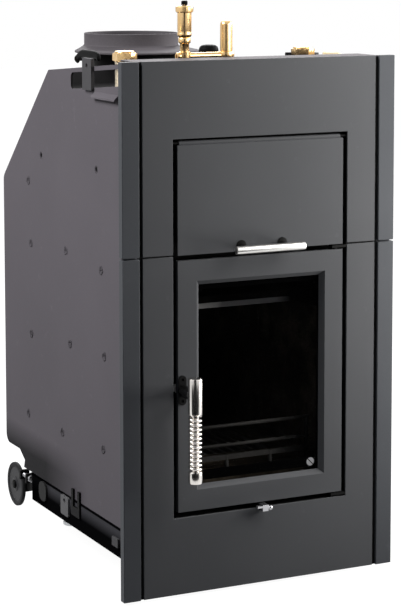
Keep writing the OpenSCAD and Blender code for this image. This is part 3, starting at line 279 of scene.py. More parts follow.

# %% [markdown]
# ## Paint of the base
# The base box is painted jet black below and behind, which is painted shade, and a paler strip
# shows between, under a dark seam along its upper rim. Its tabs are painted apart: each lies at
# its own distance behind the front, so zones along y give each its tone.

# %% Paint of the base
base_paint = stove_paint("base paint", (0.046, 0.045, 0.050), (0.064, 0.063, 0.070),
                         0.60, 420.0, 2.0,
                         # Painted shade: jet black below 70 mm and from 425 mm behind the front;
                         # the jet above 94.5 mm is the seam.
                         [(lambda place: place.axis(Z).below(0.070, 0.019), jet),
                          (behind_front(0.425, 0.800, 0.05), jet),
                          (lambda place: place.axis(Z).above(0.0945, 0.0008), jet)], 0.0)
tab_paint = stove_paint("tab paint", (0.056, 0.055, 0.058), (0.076, 0.075, 0.078),
                        0.55, 420.0, 1.0,
                        [(behind_front(0.430, 0.500), (0.016, 0.016, 0.016)),
                         (behind_front(0.330, 0.375), (0.120, 0.118, 0.122)),
                         (behind_front(0.26, 0.33), jet)], 0.05)
print("base paint zones: lower edge, rear end, upper rim")

# %% [markdown]
# ## Black paints and sooted steel
# Brackets and fittings are matt black, the latch is enamelled, and all that the fire reaches is
# scaled or sooted. They are the same recipe with other numbers: soot is rougher and has no shine.
# A painted highlight on the baffle's front edge shows as a bright strip behind the glass.

# %% Black paints and sooted steel
def painted_edge_highlight(place):
    """Mask of the painted highlight on the baffle's front edge, up to 95 mm right of the middle.
    """
    return band(Z, 0.462, 0.474)(place) * place.axis(X).below(0.095, 0.030)


black_paint = stove_paint("matt black paint", (0.004, 0.004, 0.004), (0.008, 0.008, 0.008),
                          0.55, 700.0, 0.5)
# The retainers are painted shade: near black with no shine, like the dark behind the glass.
retainer_painted_shade = stove_paint("retainer painted shade", jet, (0.002, 0.002, 0.002), 0.7, 700.0, 0.5,
                             shine=0.0)
gloss_black = stove_paint("gloss black enamel", (0.004, 0.004, 0.004), (0.007, 0.007, 0.007),
                          0.22, 700.0, 0.3, shine=0.35)
soot = stove_paint("sooted steel", (0.004, 0.0035, 0.003), (0.014, 0.012, 0.010),
                   0.80, 260.0, 1.5, shine=0.0)
guard_steel = stove_paint("scaled guard steel", (0.022, 0.021, 0.020), (0.05, 0.048, 0.046),
                          0.75, 260.0, 1.5,
                          # Darker towards the right: fading to black from 30 to 100 mm right of
                          # the middle.
                          [(lambda place: place.axis(X).above(0.030, 0.070), black)], 0.1)
# The burnt baffle carries a pale painted highlight on its front edge.
baffle_plate_paint = stove_paint("burnt baffle", (0.006, 0.006, 0.005), (0.012, 0.011, 0.010),
                                 0.85, 200.0, 3.0, [(painted_edge_highlight, (0.52, 0.51, 0.50))], 0.0)
print("paints so far:", len(bpy.data.materials) - packed_finishes)

# %% [markdown]
# ## Metals
# Stainless grips are brushed along their length. An anisotropic shader could show that, but a
# baked model loses it, so noise stretched along one axis varies colour, gloss and bump instead.
# Brass is warm, with a little brown tarnish in patches, and zinc has a faint bluish cloud.

# %% Metals
def metal(name, low, high, rough, stretch=(1, 1, 1), streak=160.0, stain=None, lift=0.12):
    """Colour from low to high by 0.6 cloud + 0.4 streak; streak also drives gloss and bump."""
    material, tree, shader, place = finish(name, Metallic=1.0)
    cloud = noise(place, 22.0, 4.0)
    line = noise(place, streak, 3.0, 0.6, stretch)
    colour = (cloud * 0.6 + line * 0.4).above(0.3, 0.4).mix(low, high)
    if stain:
        patch = noise(place, 26.0, 3.0, 0.55).above(0.52, 0.26)
        colour = (patch * 0.4).mix(colour, stain)
    wear(tree, shader, colour, line * 0.22 + (rough - 0.11), line, lift, 0.0002)
    return material


brushed_z = metal("brushed stainless upright", (0.62, 0.59, 0.56), (0.78, 0.75, 0.72), 0.19,
                  (60, 60, 2), 12.0)
brushed_x = metal("brushed stainless across", (0.56, 0.55, 0.53), (0.78, 0.77, 0.75), 0.28,
                  (2, 60, 60), 12.0)
worn_chrome = metal("worn chrome", (0.26, 0.26, 0.27), (0.50, 0.50, 0.52), 0.26, streak=60.0)
old_zinc = metal("old zinc plate", (0.20, 0.20, 0.21), (0.34, 0.34, 0.35), 0.42)
zinc = metal("zinc plate", (0.34, 0.35, 0.37), (0.56, 0.57, 0.58), 0.38, stain=(0.20, 0.20, 0.21))
brass = metal("bright brass", (0.60, 0.39, 0.17), (0.80, 0.56, 0.28), 0.24,
              stain=(0.42, 0.25, 0.10))
tinned = metal("tinned brass thread", (0.50, 0.42, 0.30), (0.74, 0.66, 0.52), 0.34)
iron = metal("grate iron", (0.03, 0.03, 0.03), (0.07, 0.07, 0.07), 0.7, streak=90.0, lift=0.5)
print("finishes with the metals:", len(bpy.data.materials) - packed_finishes)

# %% [markdown]
# ## Glass, stone and rope
# The pane is a clear glass ceramic in front of a dark fire chamber: mostly open, with a thin dark
# body, which a low Alpha gives without slow refraction. The bricks are pale grog with pits and
# soot. The door's sealing rope is pale glass yarn, with slanting waves for its strands.

# %% Glass, stone and rope
pane, tree, shader, place = finish("glass ceramic", Roughness=0.04, IOR=1.52, Alpha=0.12,
                                   Specular_IOR_Level=0.02)
haze = noise(place, 14.0, 5.0).above(0.45, 0.3)
wear(tree, shader, haze.mix((0.0010, 0.0010, 0.0011), (0.0030, 0.0028, 0.0026)))

firebrick, tree, shader, place = finish("firebrick", IOR=1.4, Specular_IOR_Level=0.0)
grog = place.node("ShaderNodeTexVoronoi", sockets={"Vector": place, "Scale": 240.0})
smoke = noise(place, 7.0, 5.0, 0.6)
sooty = smoke.above(0.30, 0.25) * 0.5 + 0.45
clay = grog.above(0.1, 0.6).mix((0.13, 0.105, 0.075), (0.22, 0.185, 0.14))
wear(tree, shader, sooty.mix(clay, (0.010, 0.008, 0.006)), smoke * 0.1 + 0.85,
     noise(place, 180.0, 6.0) + grog * 0.4, 0.6, 0.0008)

rope_cloth, tree, shader, place = finish("glass rope", Roughness=0.9)
strand = place.node("ShaderNodeTexWave", {"bands_direction": "DIAGONAL"},
                    {"Vector": place, "Scale": 160.0, "Distortion": 1.5, "Detail": 2.0}, out=1)
wear(tree, shader, strand.mix((0.05, 0.048, 0.044), (0.16, 0.155, 0.145)), None, strand, 0.7,
     0.0008)
print("glass lets through", round(1 - pane.node_tree.nodes["Principled BSDF"]
                                  .inputs["Alpha"].default_value, 2))

# %% [markdown]
# ## Rubber and plastic
# Knobs, caps and wheels are moulded: an even colour with a faint cloud, a fine leathery grain and
# little shine. Cells would draw each grain up close, but from a step away noise looks the same.

# %% Rubber and plastic
def moulded(name, low, high, rough, grain=500.0, shine=0.12):
    """Colour from low to high by soft noise; fine noise gives roughness and bump."""
    material, tree, shader, place = finish(name, IOR=1.5, Specular_IOR_Level=shine)
    speck = noise(place, grain, 3.0)
    cloud = noise(place, 30.0, 3.0)
    wear(tree, shader, cloud.above(0.3, 0.4).mix(low, high), speck * 0.2 + (rough - 0.1), speck,
         0.25, 0.0003)
    return material


black_plastic = moulded("black plastic", (0.003, 0.003, 0.003), (0.007, 0.007, 0.007), 0.5,
                        shine=0.03)
pale_plastic = moulded("pale plastic cap", (0.62, 0.50, 0.30), (0.74, 0.62, 0.40), 0.5)
rubber = moulded("wheel rubber", (0.016, 0.016, 0.017), (0.026, 0.026, 0.027), 0.72, 300.0)
wheel_plastic = moulded("wheel disc plastic", (0.022, 0.022, 0.024), (0.033, 0.033, 0.035), 0.5)
print("finishes in all:", len(bpy.data.materials) - packed_finishes)

# %% [markdown]
# ## Making pieces
# Every new piece is a set of points worked out by a formula, already in its place, so its object
# stays at the origin. These helpers turn points and faces into a mesh, shade it smooth up to an
# angle, give it its finish, and say which body it rides on and which CAD node it stands for.

# %% Making pieces
def add_to_scene(name, data):
    """A new object for a mesh, lamp or camera, linked to the scene."""
    obj = bpy.data.objects.new(name, data)
    bpy.context.scene.collection.objects.link(obj)
    return obj


def smooth_mesh(mesh, material, sharp):
    """Smooth shading, except along edges sharper than that many degrees."""
    mesh.polygons.foreach_set("use_smooth", np.ones(len(mesh.polygons), dtype=bool))
    mesh.set_sharp_from_angle(angle=math.radians(sharp))
    mesh.materials.clear()
    mesh.materials.append(material)


def carried(obj, body, nodes):
    """Tells the frame what a finished piece rides on and replaces."""
    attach(obj, body)
    if nodes:
        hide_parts(*nodes)
    return obj


def outward(mesh):
    """Makes every closed shell of a mesh face outwards."""
    work = bmesh.new()
    work.from_mesh(mesh)
    bmesh.ops.recalc_face_normals(work, faces=work.faces)
    work.to_mesh(mesh)
    work.free()


def piece(name, verts, faces, material, body, nodes=(), sharp=35):
    """Piece at the origin from arrays of points and faces."""
    mesh = bpy.data.meshes.new(name)
    mesh.from_pydata(np.asarray(verts, float).reshape(-1, 3).tolist(), [], faces)
    smooth_mesh(mesh, material, sharp)
    outward(mesh)
    return carried(add_to_scene(name, mesh), body, nodes)


print("pieces are made in", bpy.context.scene.name)

# %% [markdown]
# ## Grids of points
# A turned or drawn piece is a grid: rows of rings. Its rings close on themselves, and its ends
# get a cap, unless the rows close too, as in a tyre. Blender's own cylinders would have to be
# joined and cut afterwards; a grid holds the whole form at once.

# %% Grids of points
def grid_faces(rows, cols, offset=0, close_rows=False):
    """Quads of a grid whose columns close on themselves; rows close too for a ring."""
    i = np.arange(rows if close_rows else rows - 1)[:, None]
    j = np.arange(cols)[None, :]
    near, far, after = i * cols, ((i + 1) % rows) * cols, (j + 1) % cols
    quads = np.stack([near + j, near + after, far + after, far + j], axis=-1)
    return (quads.reshape(-1, 4) + offset).tolist()


def join(parts):
    """Joins (grid, closed ring?) pairs into one list of points and faces; ends get a cap."""
    verts, faces, count = [], [], 0
    for grid, ring in parts:
        rows, cols = grid.shape[:2]
        faces += grid_faces(rows, cols, count, ring)
        if not ring:
            faces += [list(range(count + cols - 1, count - 1, -1)),
                      list(range(count + (rows - 1) * cols, count + rows * cols))]
        verts.append(grid.reshape(-1, 3))
        count += rows * cols
    return np.concatenate(verts), faces


def turned(name, parts, material, body, nodes=(), sharp=35):
    """A piece from several grids, such as lathed and drawn ones."""
    verts, faces = join([p if isinstance(p, tuple) else (p, False) for p in parts])
    return piece(name, verts, faces, material, body, nodes, sharp)


print("faces of a tube of 3 rings and 8 sides:", len(grid_faces(3, 8)))

# %% [markdown]
# ## Lathe and tube
# Most fittings are turned, so a profile of radii and heights swept about an axis gives the real
# form with few numbers. Wire, welds and rope are tubes along a path.

# %% Lathe and tube
def round_angles(sides):
    """Angles of a closed ring of that many sides, in radians."""
    return np.linspace(0, 2 * np.pi, sides, endpoint=False)


def lathe(profile, centre, axis="z", sides=64, ripple=None):
    """Surface of revolution: (r, h) turned about an axis through centre.
    Point = centre + r cos(a) u + r sin(a) v + h w; ripple(a, h) is added to r.
    A radius of 0 becomes a ring of 0.02 mm, so that the cap closes the pole."""
    r, h = np.asarray(profile, float).T
    a = round_angles(sides)[None, :]
    r, h = np.maximum(r, 0.02)[:, None] + 0 * a, h[:, None] + 0 * a
    if ripple is not None:
        r = r + ripple(a + 0 * r, h)
    c, s = r * np.cos(a), r * np.sin(a)
    x, y, z = {"z": (c, s, h), "x": (h, c, s), "y": (s, h, c)}[axis]
    return at(centre[0] + x, centre[1] + y, centre[2] + z)


def tube(path, radius, sides=10, up=(0, 0, 1)):
    """A round tube along a path in millimetres: path + radius (cos b p + sin b q), where p and q
    stand square to the path's direction and come from one fixed direction up."""
    path = np.asarray(path, float)
    t = np.gradient(path, axis=0)
    t /= np.linalg.norm(t, axis=1, keepdims=True)
    p = np.cross(t, np.asarray(up, float))
    p /= np.linalg.norm(p, axis=1, keepdims=True)
    q = np.cross(t, p)
    b = round_angles(sides)[None, :, None]
    radius = np.asarray(radius, float).reshape(-1, 1, 1)
    xyz = path[:, None] + radius * (np.cos(b) * p[:, None] + np.sin(b) * q[:, None])
    return at(xyz[..., 0], xyz[..., 1], xyz[..., 2])


print("a lathed disc has", lathe([(0, 0), (5, 0)], (0, 0, 0)).shape, "points")

# %% [markdown]
# ## Softened sheet metal
# Bent and cut sheet never has a knife edge: a thin bright line runs along every rim in the
# photograph. The flat plates keep their CAD outline, so a copy of the solid is merged, its flat
# triangles are joined into whole faces, and a Bevel modifier rounds each edge a little.

# %% Softened sheet metal
bodies = frame["record"]["behaviour"]["bodies"]


def softened(node, material, width, segments=2):
    """A copy of a CAD solid with its edges rounded by width millimetres."""
    same_place, flat = 2e-6, math.radians(0.8)
    work = bmesh.new()
    work.from_mesh(frame["nodes"][node].data)
    bmesh.ops.remove_doubles(work, verts=work.verts, dist=same_place)
    bmesh.ops.dissolve_limit(work, angle_limit=flat, verts=work.verts,
                             edges=work.edges, delimit=set())
    mesh = bpy.data.meshes.new("soft_" + node)
    work.to_mesh(mesh)
    work.free()
    smooth_mesh(mesh, material, 35)
    obj = add_to_scene("soft_" + node, mesh)
    if width:
        bevel = obj.modifiers.new("rounded rims", "BEVEL")
        bevel.width, bevel.segments = width / 1000, segments
        bevel.limit_method, bevel.angle_limit = "ANGLE", math.radians(40)
    body = next(b for b, names in bodies.items() if node in names)
    return carried(obj, body, (node,))


for node in ("front_plate_upper", "front_plate_lower", "door_frame", "flap_panel"):
    softened(node, front_paint, 0.9)
for node in ("trim_left_upper", "trim_left_lower", "trim_right_upper", "trim_right_lower"):
    plate = softened(node, trim_paint, 1.1)
print("a trim has", len(plate.data.polygons), "faces before its bevel")

# %% [markdown]
# ## Sheets of the body
# The boiler's panels, tray, base and brackets are cut and bent from thinner sheet, so their rims
# are rounded less. The wrap and the neck are welded along their edges and get no bevel at all.

# %% Sheets of the body
for node, paint, rim in (
        ("side_panels", body_paint, 0.6), ("top_cover", hood_paint, 0.5),
        ("hatch_cover", black_paint, 0.8), ("lifting_lugs", lug_paint, 0.8),
        ("boiler_shell", wrap_paint, 0.0), ("base_frame", base_paint, 0.6),
        ("side_tabs", tab_paint, 0.5), ("portal_frame", black_paint, 0.4),
        ("wheel_brackets", black_paint, 0.4), ("hinge_brackets", black_paint, 0.3),
        # The neck's matt black is painted shade under the hood's skirt.
        ("flue_neck", black_paint, 0.0), ("glass_retainers", retainer_painted_shade, 0.3),
        ("latch_tongue", zinc, 0.3), ("latch_keeper", zinc, 0.3),
        ("latch_rosette", black_paint, 0.4)):
    plate = softened(node, paint, rim)
print("body sheets done, the last is", plate.name)

# %% [markdown]
# ## Bricks, baffle, grate and air lever
# Cast and pressed parts have softer edges than sheet: 1.6 mm on the bricks and the baffle. The
# air lever is a small polished casting, so its bevel gets a third segment.

# %% Bricks, baffle, grate and air lever
for node in ("bricks_side", "bricks_rear", "bricks_floor"):
    softened(node, firebrick, 1.6)
softened("baffle_plate", baffle_plate_paint, 1.6)
softened("air_lever", worn_chrome, 1.2, segments=3)
softened("grate", iron, 0.8)

# %% [markdown]
# ## Hood and spigot
# The hood is a skewed cone: a wide ring stands over the neck and a narrower ring carries the
# spigot further back. A lathe can't turn that, so each ring has its own radius and middle, and
# the sheet's outer and inner faces are one closed run of rings. The spigot itself is lathed.

# %% Hood and spigot
def skew_cone(rings, sides=96):
    """Rings (radius, middle behind the front, height), each point = middle + r (cos a, sin a)."""
    r, y, z = (v[:, None] for v in np.asarray(rings, float).T)
    a = round_angles(sides)[None, :]
    return at(r * np.cos(a), y + r * np.sin(a), z + 0 * a)


neck_y, spigot_y = 512, 541
hood = skew_cone([(88.1, neck_y, 893), (117.5, neck_y, 893), (118.7, neck_y, 893.5),
                  (119, neck_y, 894.8), (118.7, 512.3, 896.2), (117.4, 513.2, 897.2),
                  (105, 527, 900.4), (94.6, 539, 903.6), (92.6, spigot_y, 904.4),
                  (91.5, spigot_y, 905), (88.2, spigot_y, 905), (87.6, spigot_y, 904.4),
                  (87.6, spigot_y, 902), (89.5, spigot_y, 901.6), (102, 527, 898.2),
                  (115, 512.6, 895.4), (88.1, neck_y, 895)])
turned("hood_sheet", [(hood, True)], hood_paint, "root", ("flue_hood",), 50)
collar = lathe([(87.5, 905), (91.8, 905), (90.5, 906.2), (89.9, 908), (89.9, 926.5),
                (90, 927.4), (89.9, 928.6), (89, 929), (88.2, 928.8), (87.6, 928),
                (87.5, 926)], (0, spigot_y, 0), sides=128)
turned("flue_spigot_ring", [(collar, True)], hood_paint, "root",
       ("flue_collar",), 50)
print("hood rings:", len(hood), "- the spigot stands", spigot_y - neck_y, "mm behind the neck")

# %% [markdown]
# ## Damper
# A shaft crosses the neck and turns a half disc; its black lever shows left of the hood. The disc
# keeps its CAD shape and only gets soot. The lever is a moulded one, so a rounded section is
# carried along a bent middle line, and both ends shrink like a quarter ellipse.

# %% Damper
def lever(shaft_y, shaft_z, outer_x, reach):
    """s runs forwards from the shaft. Middle line = 11.4 (1 - (1 - s/28)²) up to s = 28, then
    level, with 6 ((s - 80)/22)² of droop at its end. Half height r = 6.9 + 1.4 (1 - s/25)², and
    both ends are rounded: r sqrt(1 - u²), u from 0 to 1 along the heel or the tip."""
    heel, tip, half_width = 8.3, 5, 3.9
    quarter = np.linspace(0, np.pi / 2, 7)
    s = np.concatenate([-heel * np.cos(quarter[:-1]), np.linspace(0, reach - tip, 44),
                        reach - tip + tip * np.sin(quarter[1:])])
    rise = 11.4 * (1 - (1 - np.clip(s / 28, 0, 1)) ** 2) - 6 * (np.clip(s - 80, 0, 22) / 22) ** 2
    r = 6.9 + 1.4 * np.clip(1 - s / 25, 0, 1) ** 2
    for u in (np.minimum(s, 0) / heel, np.maximum(s - reach + tip, 0) / tip):
        r = r * np.sqrt(np.clip(1 - u ** 2, 0.002, 1))
    b = round_angles(24)[None, :]
    corner = 1 / np.maximum(np.abs(np.cos(b)), np.abs(np.sin(b))) ** 0.6
    across = np.minimum(r, half_width)[:, None] * corner * np.sin(b)
    return at(outer_x + np.clip(across, -half_width, half_width), shaft_y - s[:, None] + 0 * b,
              shaft_z + rise[:, None] + r[:, None] * np.cos(b))


def refinished(node, material):
    """Gives a CAD node whose shape is right its finish."""
    mesh = frame["nodes"][node].data
    mesh.materials.clear()
    mesh.materials.append(material)


refinished("damper_flap", soot)
grip = turned("damper_grip", [lever(499, 884, -128, 102)], black_plastic, "damper",
              ("damper_lever",), 50)
print("lever length:", round(grip.dimensions.y * 1000, 1), "mm")

# %% [markdown]
# ## Nuts and threads
# A nut's hexagon is a lathed shape whose radius follows the hexagon's edge, and a cone cuts its
# corners, as on real nuts. A thread is a ripple of the radius that climbs one pitch a turn. Cut
# geometry costs more faces than a bump, but the rims catch the light as real ones do.

# %% Nuts and threads
def hexagon(flats, low, high, chamfer=1.6, sides=72):
    """Hexagonal prism with turned ends: radius = smaller of the hexagon's edge and the cone's."""
    h = np.array([low, low, low + chamfer, (low + high) / 2, high - chamfer, high, high])
    a = round_angles(sides)[None, :]
    edge = flats / 2 / np.cos((a + np.pi / 6) % (np.pi / 3) - np.pi / 6)
    corner, end = flats / 2 / np.cos(np.pi / 6), flats / 2 - 0.4
    limit = np.array([0.02, end, corner + 0.2, corner + 1, corner + 0.2, end, 0.02])[:, None]
    r = np.minimum(edge, limit)
    return r * np.cos(a), r * np.sin(a), h[:, None] + 0 * a


def nut(flats, low, high, x, y):
    """An upright nut between two heights."""
    u, v, h = hexagon(flats, low, high)
    return at(x + u, y + v, h)


def thread(depth, pitch):
    """Ripple of a screw thread: depth times a rounded saw of height minus turn."""
    return lambda a, h: depth * (np.cos(2 * np.pi * (h / pitch) - a) - 1) / 2


def knurl(low, high, depth, teeth):
    """Ripple of grip ribs: depth (cos(teeth a) - 1) between two heights, none outside."""
    return lambda a, h: np.where((h > low) & (h < high), depth * np.cos(teeth * a) - depth, 0)


print("a 36 mm nut is", round(36 / math.cos(math.pi / 6), 1), "mm over its corners")

# %% [markdown]
# ## Water stubs and their caps
# Two one-inch stubs stand on the tray, each closed by a brass cap of 36 mm across the flats. The
# thread shows below the left cap, and its flanks must break the outline there, which a bump
# can't do. A third, thinner stub at the right carries a pale plastic cap.

# %% Water stubs and their caps
stub_y, stub_x = 130, (-195, 148)
third_x, third_y = 192, 105
for name, x in zip(("left_cap", "right_cap"), stub_x):
    rim = lathe([(0, 912.6), (15.5, 912.6), (16.6, 913.6), (17, 915), (16.4, 916.3),
                 (14.5, 917), (0, 917)], (x, stub_y, 0))
    turned(name, [nut(36, 899, 914, x, stub_y), rim], brass, "root", ("stub_caps",))
heights = np.arange(862, 899.1, 0.7)
stubs = [lathe([(16.85, 843), (16.85, 860)] + [(16.85, h) for h in heights] + [(16.85, 908)],
               (x, stub_y, 0), sides=40, ripple=thread(1.1, 2.31)) for x in stub_x]
stubs.append(lathe([(12.85, 843), (12.85, 901)], (third_x, third_y, 0), sides=40))
turned("threaded_stubs", stubs, tinned, "root", ("water_stubs",), 80)
print("thread rings on each stub:", len(heights))

# %% [markdown]
# ## Cross pipe, air vent and sensor pocket
# The air vent and the sensor pocket stand on two risers joined by a cross pipe. All are turned
# brass, so each is one profile. The vent's black screw cap turns by itself and rides on its own
# body; both have ribs for the fingers.

# %% Cross pipe, air vent and sensor pocket
vent_x, pocket_x = -83, -3
manifold = [lathe([(0, 843), (13, 843), (13, 849), (8.5, 850), (8.5, 893), (10.5, 895),
                   (10.5, 912), (9, 913), (0, 913)], (vent_x, stub_y, 0)),
            lathe([(0, 843), (13, 843), (13, 849), (8.5, 850), (8.5, 897.5), (13.2, 898),
                   (14, 899.5), (14, 908), (13.2, 911.4), (11, 912), (0, 912)],
                  (pocket_x, stub_y, 0)),
            lathe([(3.2, -95), (3.2, -98), (6, -98), (6.6, -96), (6.6, -92), (6, -90),
                   (6, -14), (0, -14), (0, -95)], (0, stub_y, 905), "x", 40)]
turned("brass_manifold", manifold, brass, "root", ("vent_manifold",))
vent = lathe([(0, 913), (8, 913), (8, 926), (8.6, 927), (10.2, 928), (10.8, 930), (10.8, 935),
              (10.2, 936.4), (9.4, 937.2), (11.2, 939), (12.3, 941), (12.3, 944), (11.9, 945),
              (11.9, 948), (12.3, 949), (12.3, 978), (12.6, 979.6), (14.6, 980.6), (15.5, 982.4),
              (15.5, 988), (14.9, 989.8), (13, 991.4), (9, 992), (2, 992), (2, 996.5),
              (0, 996.5)], (vent_x, stub_y, 0), sides=80, ripple=knurl(981, 989, 0.28, 28))
turned("air_vent", [vent], brass, "root", ("vent_body",))
cap = lathe([(0, 992.4), (5.2, 992.4), (5.5, 993), (5.5, 998), (5, 999.4), (3.6, 1000),
             (0, 1000)], (vent_x, stub_y, 0), sides=60, ripple=knurl(992.8, 998.5, 0.22, 15))
turned("vent_screw_cap", [cap], black_plastic, "vent_cap", ("vent_cap",))
pocket = lathe([(0, 912), (10.2, 912), (10.8, 912.8), (10.8, 957), (10.4, 960), (9.2, 962.6),
                (7.2, 964.3), (4.5, 964.9), (0, 965)], (pocket_x, stub_y, 0), sides=64)
turned("sensor_pocket", [pocket], brass, "root", ("sensor_well",))
print("the vent's profile has", len(vent), "rings")

# %% [markdown]
# ## Plastic caps and the hatch knob
# A pale cap closes the third stub, a black plug the coil stub, and a round black knob lifts the
# cover of the cleaning hatch. They are turned as the brass is, with softer rims.

# %% Plastic caps and the hatch knob
pale = lathe([(0, 883), (15.4, 883), (16, 884), (16, 905), (15.4, 906.4), (14, 907), (0, 907)],
             (third_x, third_y, 0), sides=64, ripple=knurl(885, 904, 0.3, 24))
turned("pale_cap", [pale], pale_plastic, "root", ("side_cap",))
stub = lathe([(0, 843), (5, 843), (5, 894.6), (6, 895), (6, 905.6), (5.2, 907), (0, 907)],
             (118, 128, 0), sides=32)
turned("coil_plug", [stub], black_plastic, "root", ("coil_stub",))
knob = lathe([(0, 848), (11, 848), (11, 851), (6, 853), (5, 856), (5, 899), (8, 901.5),
              (14, 903), (16.8, 905.6), (17.5, 909), (17.2, 913), (15.4, 916.6), (11.6, 919.2),
              (6, 920), (0, 920)], (0, 205, 0), sides=64)
turned("hatch_ball", [knob], black_plastic, "root", ("hatch_knob",))

# %% [markdown]
# ## Door grip
# The lower half of the grip is a coil that keeps it cool. A Screw modifier could wind it, but a
# helix needs no more than an angle: x and y run round a circle while z falls by one pitch a turn,
# and a tube is carried along it. Above it shows the smooth core, below it the end cap.

# %% Door grip
grip_x, grip_y, grip_z = -150, -49, 355
coil_top, coil_end = grip_z - 31, grip_z - 126
core = lathe([(0, coil_end), (6.6, coil_end), (6.6, coil_top), (11, coil_top),
              (12, grip_z - 30), (12, grip_z + 28.6), (11.4, grip_z + 30), (10, grip_z + 30.4),
              (0, grip_z + 30.4)], (grip_x, grip_y, 0), sides=64)
turned("grip_rod", [core], brushed_z, "latch", ("grip_core",))
turns, wire_r, slack, coil_r = 12, 2.25, 0.6, 9.75
pitch = (coil_top - coil_end - 2 * wire_r - 2 * slack) / turns
turn_angle = np.linspace(0, 2 * np.pi * turns, turns * 36 + 1)
helix = np.stack([grip_x + coil_r * np.cos(turn_angle), grip_y + coil_r * np.sin(turn_angle),
                  coil_top - wire_r - slack - pitch * turn_angle / (2 * np.pi)], axis=-1)
coil = tube(helix, wire_r, 12)
turned("grip_coil", [coil], brushed_z, "latch", ("grip_spiral",), 60)
end = lathe([(0, grip_z - 146.4), (10, grip_z - 146.4), (11.6, grip_z - 145.8),
             (12, grip_z - 144.6), (12, grip_z - 127), (11.4, coil_end), (0, coil_end)],
            (grip_x, grip_y, 0), sides=64)
turned("grip_end", [end], brushed_z, "latch", ("grip_cap",))
shaft = lathe([(0, 15.4), (5, 15.4), (5, -1.4), (9.2, -1.4), (10, -2.2), (10, -34), (9.4, -37),
               (8, -38.9), (0, -38.9)], (grip_x, 0, grip_z), "y", 48)
turned("latch_rod", [shaft], gloss_black, "latch", ("latch_shaft",))
print("coil pitch", round(pitch, 3), "mm, free gap", round(pitch - 2 * wire_r, 3), "mm")

# %% [markdown]
# ## Flap bar and posts
# The flap is lifted by a straight stainless bar with softly rounded ends. It sits on two black
# posts, and each post stands on a small flange that reaches higher than the bar and shows above
# it as a dark half disc. All are lathed. The rod of the flap's hinge lies behind the front.

# %% Flap bar and posts
bar_z, flange_z, post_x = 589, 592, (-39, 39)
bar = lathe([(0, -65), (5.8, -65), (6.7, -64.5), (7, -63.4), (7, 63.4), (6.7, 64.5), (5.8, 65),
             (0, 65)], (0, -30, bar_z), "x", 48)
turned("bar_rod", [bar], brushed_x, "flap", ("flap_bar",))
posts = [lathe([(0, 2), (4.75, 2), (4.75, -23.4), (0, -23.4)], (x, 0, bar_z), "y", 32)
         for x in post_x]
posts += [lathe([(0, 2), (9, 2), (9, 0.9), (8.6, 0.3), (7.8, 0), (0, 0)], (x, 0, flange_z), "y",
                48) for x in post_x]
turned("bar_posts", posts, black_paint, "flap", ("flap_posts",))
rod = lathe([(0, -169), (2, -169), (2, 169), (0, 169)], (0, 8.2, 768.5), "x", 24)
turned("hinge_rod", [rod], black_paint, "root", ("flap_hinge_rod",))
print("bar and posts:", len(posts), "grids")

# %% [markdown]
# ## Wheels
# Two rubber-tyred wheels let one person roll the insert into its niche. Each is two closed
# profiles about the axle, a tyre and a dished disc, because rubber and plastic shine differently.
# The right wheel is the left one with its x turned round.

# %% Wheels
axle_y, axle_z = 648.5, 45.5
tread = [(33, 199.9), (33.8, 199.6), (35.5, 198.7), (38, 198.5), (41, 198.6), (42.2, 199.4),
         (42.5, 200.6), (42.5, 203.9), (42.2, 205.1), (41, 205.9), (38, 206), (35.5, 205.8),
         (33.8, 204.7), (33, 204.4)]
disc = [(5.06, 199), (13, 199), (14, 199.6), (15, 200.3), (33.4, 200.3), (33.4, 204.2),
        (15, 204.2), (14, 204.9), (13, 205.5), (5.06, 205.5)]
for side, name in ((-1, "wheel_left"), (1, "wheel_right")):
    for part, profile, material in (("_tyre", tread, rubber), ("_disc", disc, wheel_plastic)):
        ring = lathe([(r, side * h) for r, h in profile], (0, axle_y, axle_z), "x", 96)
        turned(name + part, [(ring, True)], material, name, (name,))
print("wheel diameter:", 2 * max(r for r, h in tread), "mm")

# %% [markdown]
# ## Axles, adjusting bolts and feet
# Each axle is a pin with a round head and a washer. Beside it a long bolt sets the height of the
# wheel's bracket, and under the base stand four studs on flat pads, with a lock nut each. Their
# threads are ripples again, on profiles with a row of points for every flank.

# %% Axles, adjusting bolts and feet
bolt_x, bolt_z = 205.5, 77
axles, bolts = [], []
for s in (-1, 1):
    axles += [lathe([(0, s * 184.5), (5, s * 184.5), (5, s * 206.4), (0, s * 206.4)],
                    (0, axle_y, axle_z), "x", 32),
              lathe([(0, s * 206.4), (8, s * 206.4), (8.5, s * 207), (8.3, s * 208.6),
                     (6.5, s * 209.7), (0, s * 210)], (0, axle_y, axle_z), "x", 32)]
    bolts.append(lathe([(5, s * 196.55), (8, s * 196.55), (8, s * 198.1), (5, s * 198.1)],
                       (0, axle_y, axle_z), "x", 32))
    grooves = [(4.5, h) for h in np.arange(563.5, 606, 0.45)]
    bolts.append(lathe([(0, 563)] + grooves + [(3.6, 608), (0, 608)], (s * bolt_x, 0, bolt_z),
                       "y", 20,
                       ripple=lambda a, h: np.where(h < 606, thread(0.7, 1.5)(a, h), 0)))
    u, v, h = hexagon(13.2, 557, 563, 0.8, 36)
    bolts.append(at(s * bolt_x + u, h, bolt_z + v))
turned("axle_pins", axles, black_paint, "root", ("wheel_bolts",), 60)
turned("adjusting_bolts", bolts, old_zinc, "root", ("wheel_bolts",), 60)
feet = []
stud = [(6, h) for h in np.arange(9, 70.5, 0.6)]
for x, y in ((-150, 56), (-150, 488), (150, 56), (150, 488)):
    feet += [lathe([(0, 0), (16.5, 0), (18, 1.2), (18, 5.6), (16.6, 7.4), (9, 8), (0, 8)],
                   (x, y, 0), sides=48),
             lathe([(0, 8)] + stud + [(5, 71), (0, 71)], (x, y, 0), sides=20,
                   ripple=thread(0.8, 1.75)),
             nut(18, 38, 47, x, y)]
turned("feet_and_nuts", feet, zinc, "root", ("levelling_feet",), 60)
print("axle parts", len(axles), "- bolt parts", len(bolts), "- foot parts", len(feet))
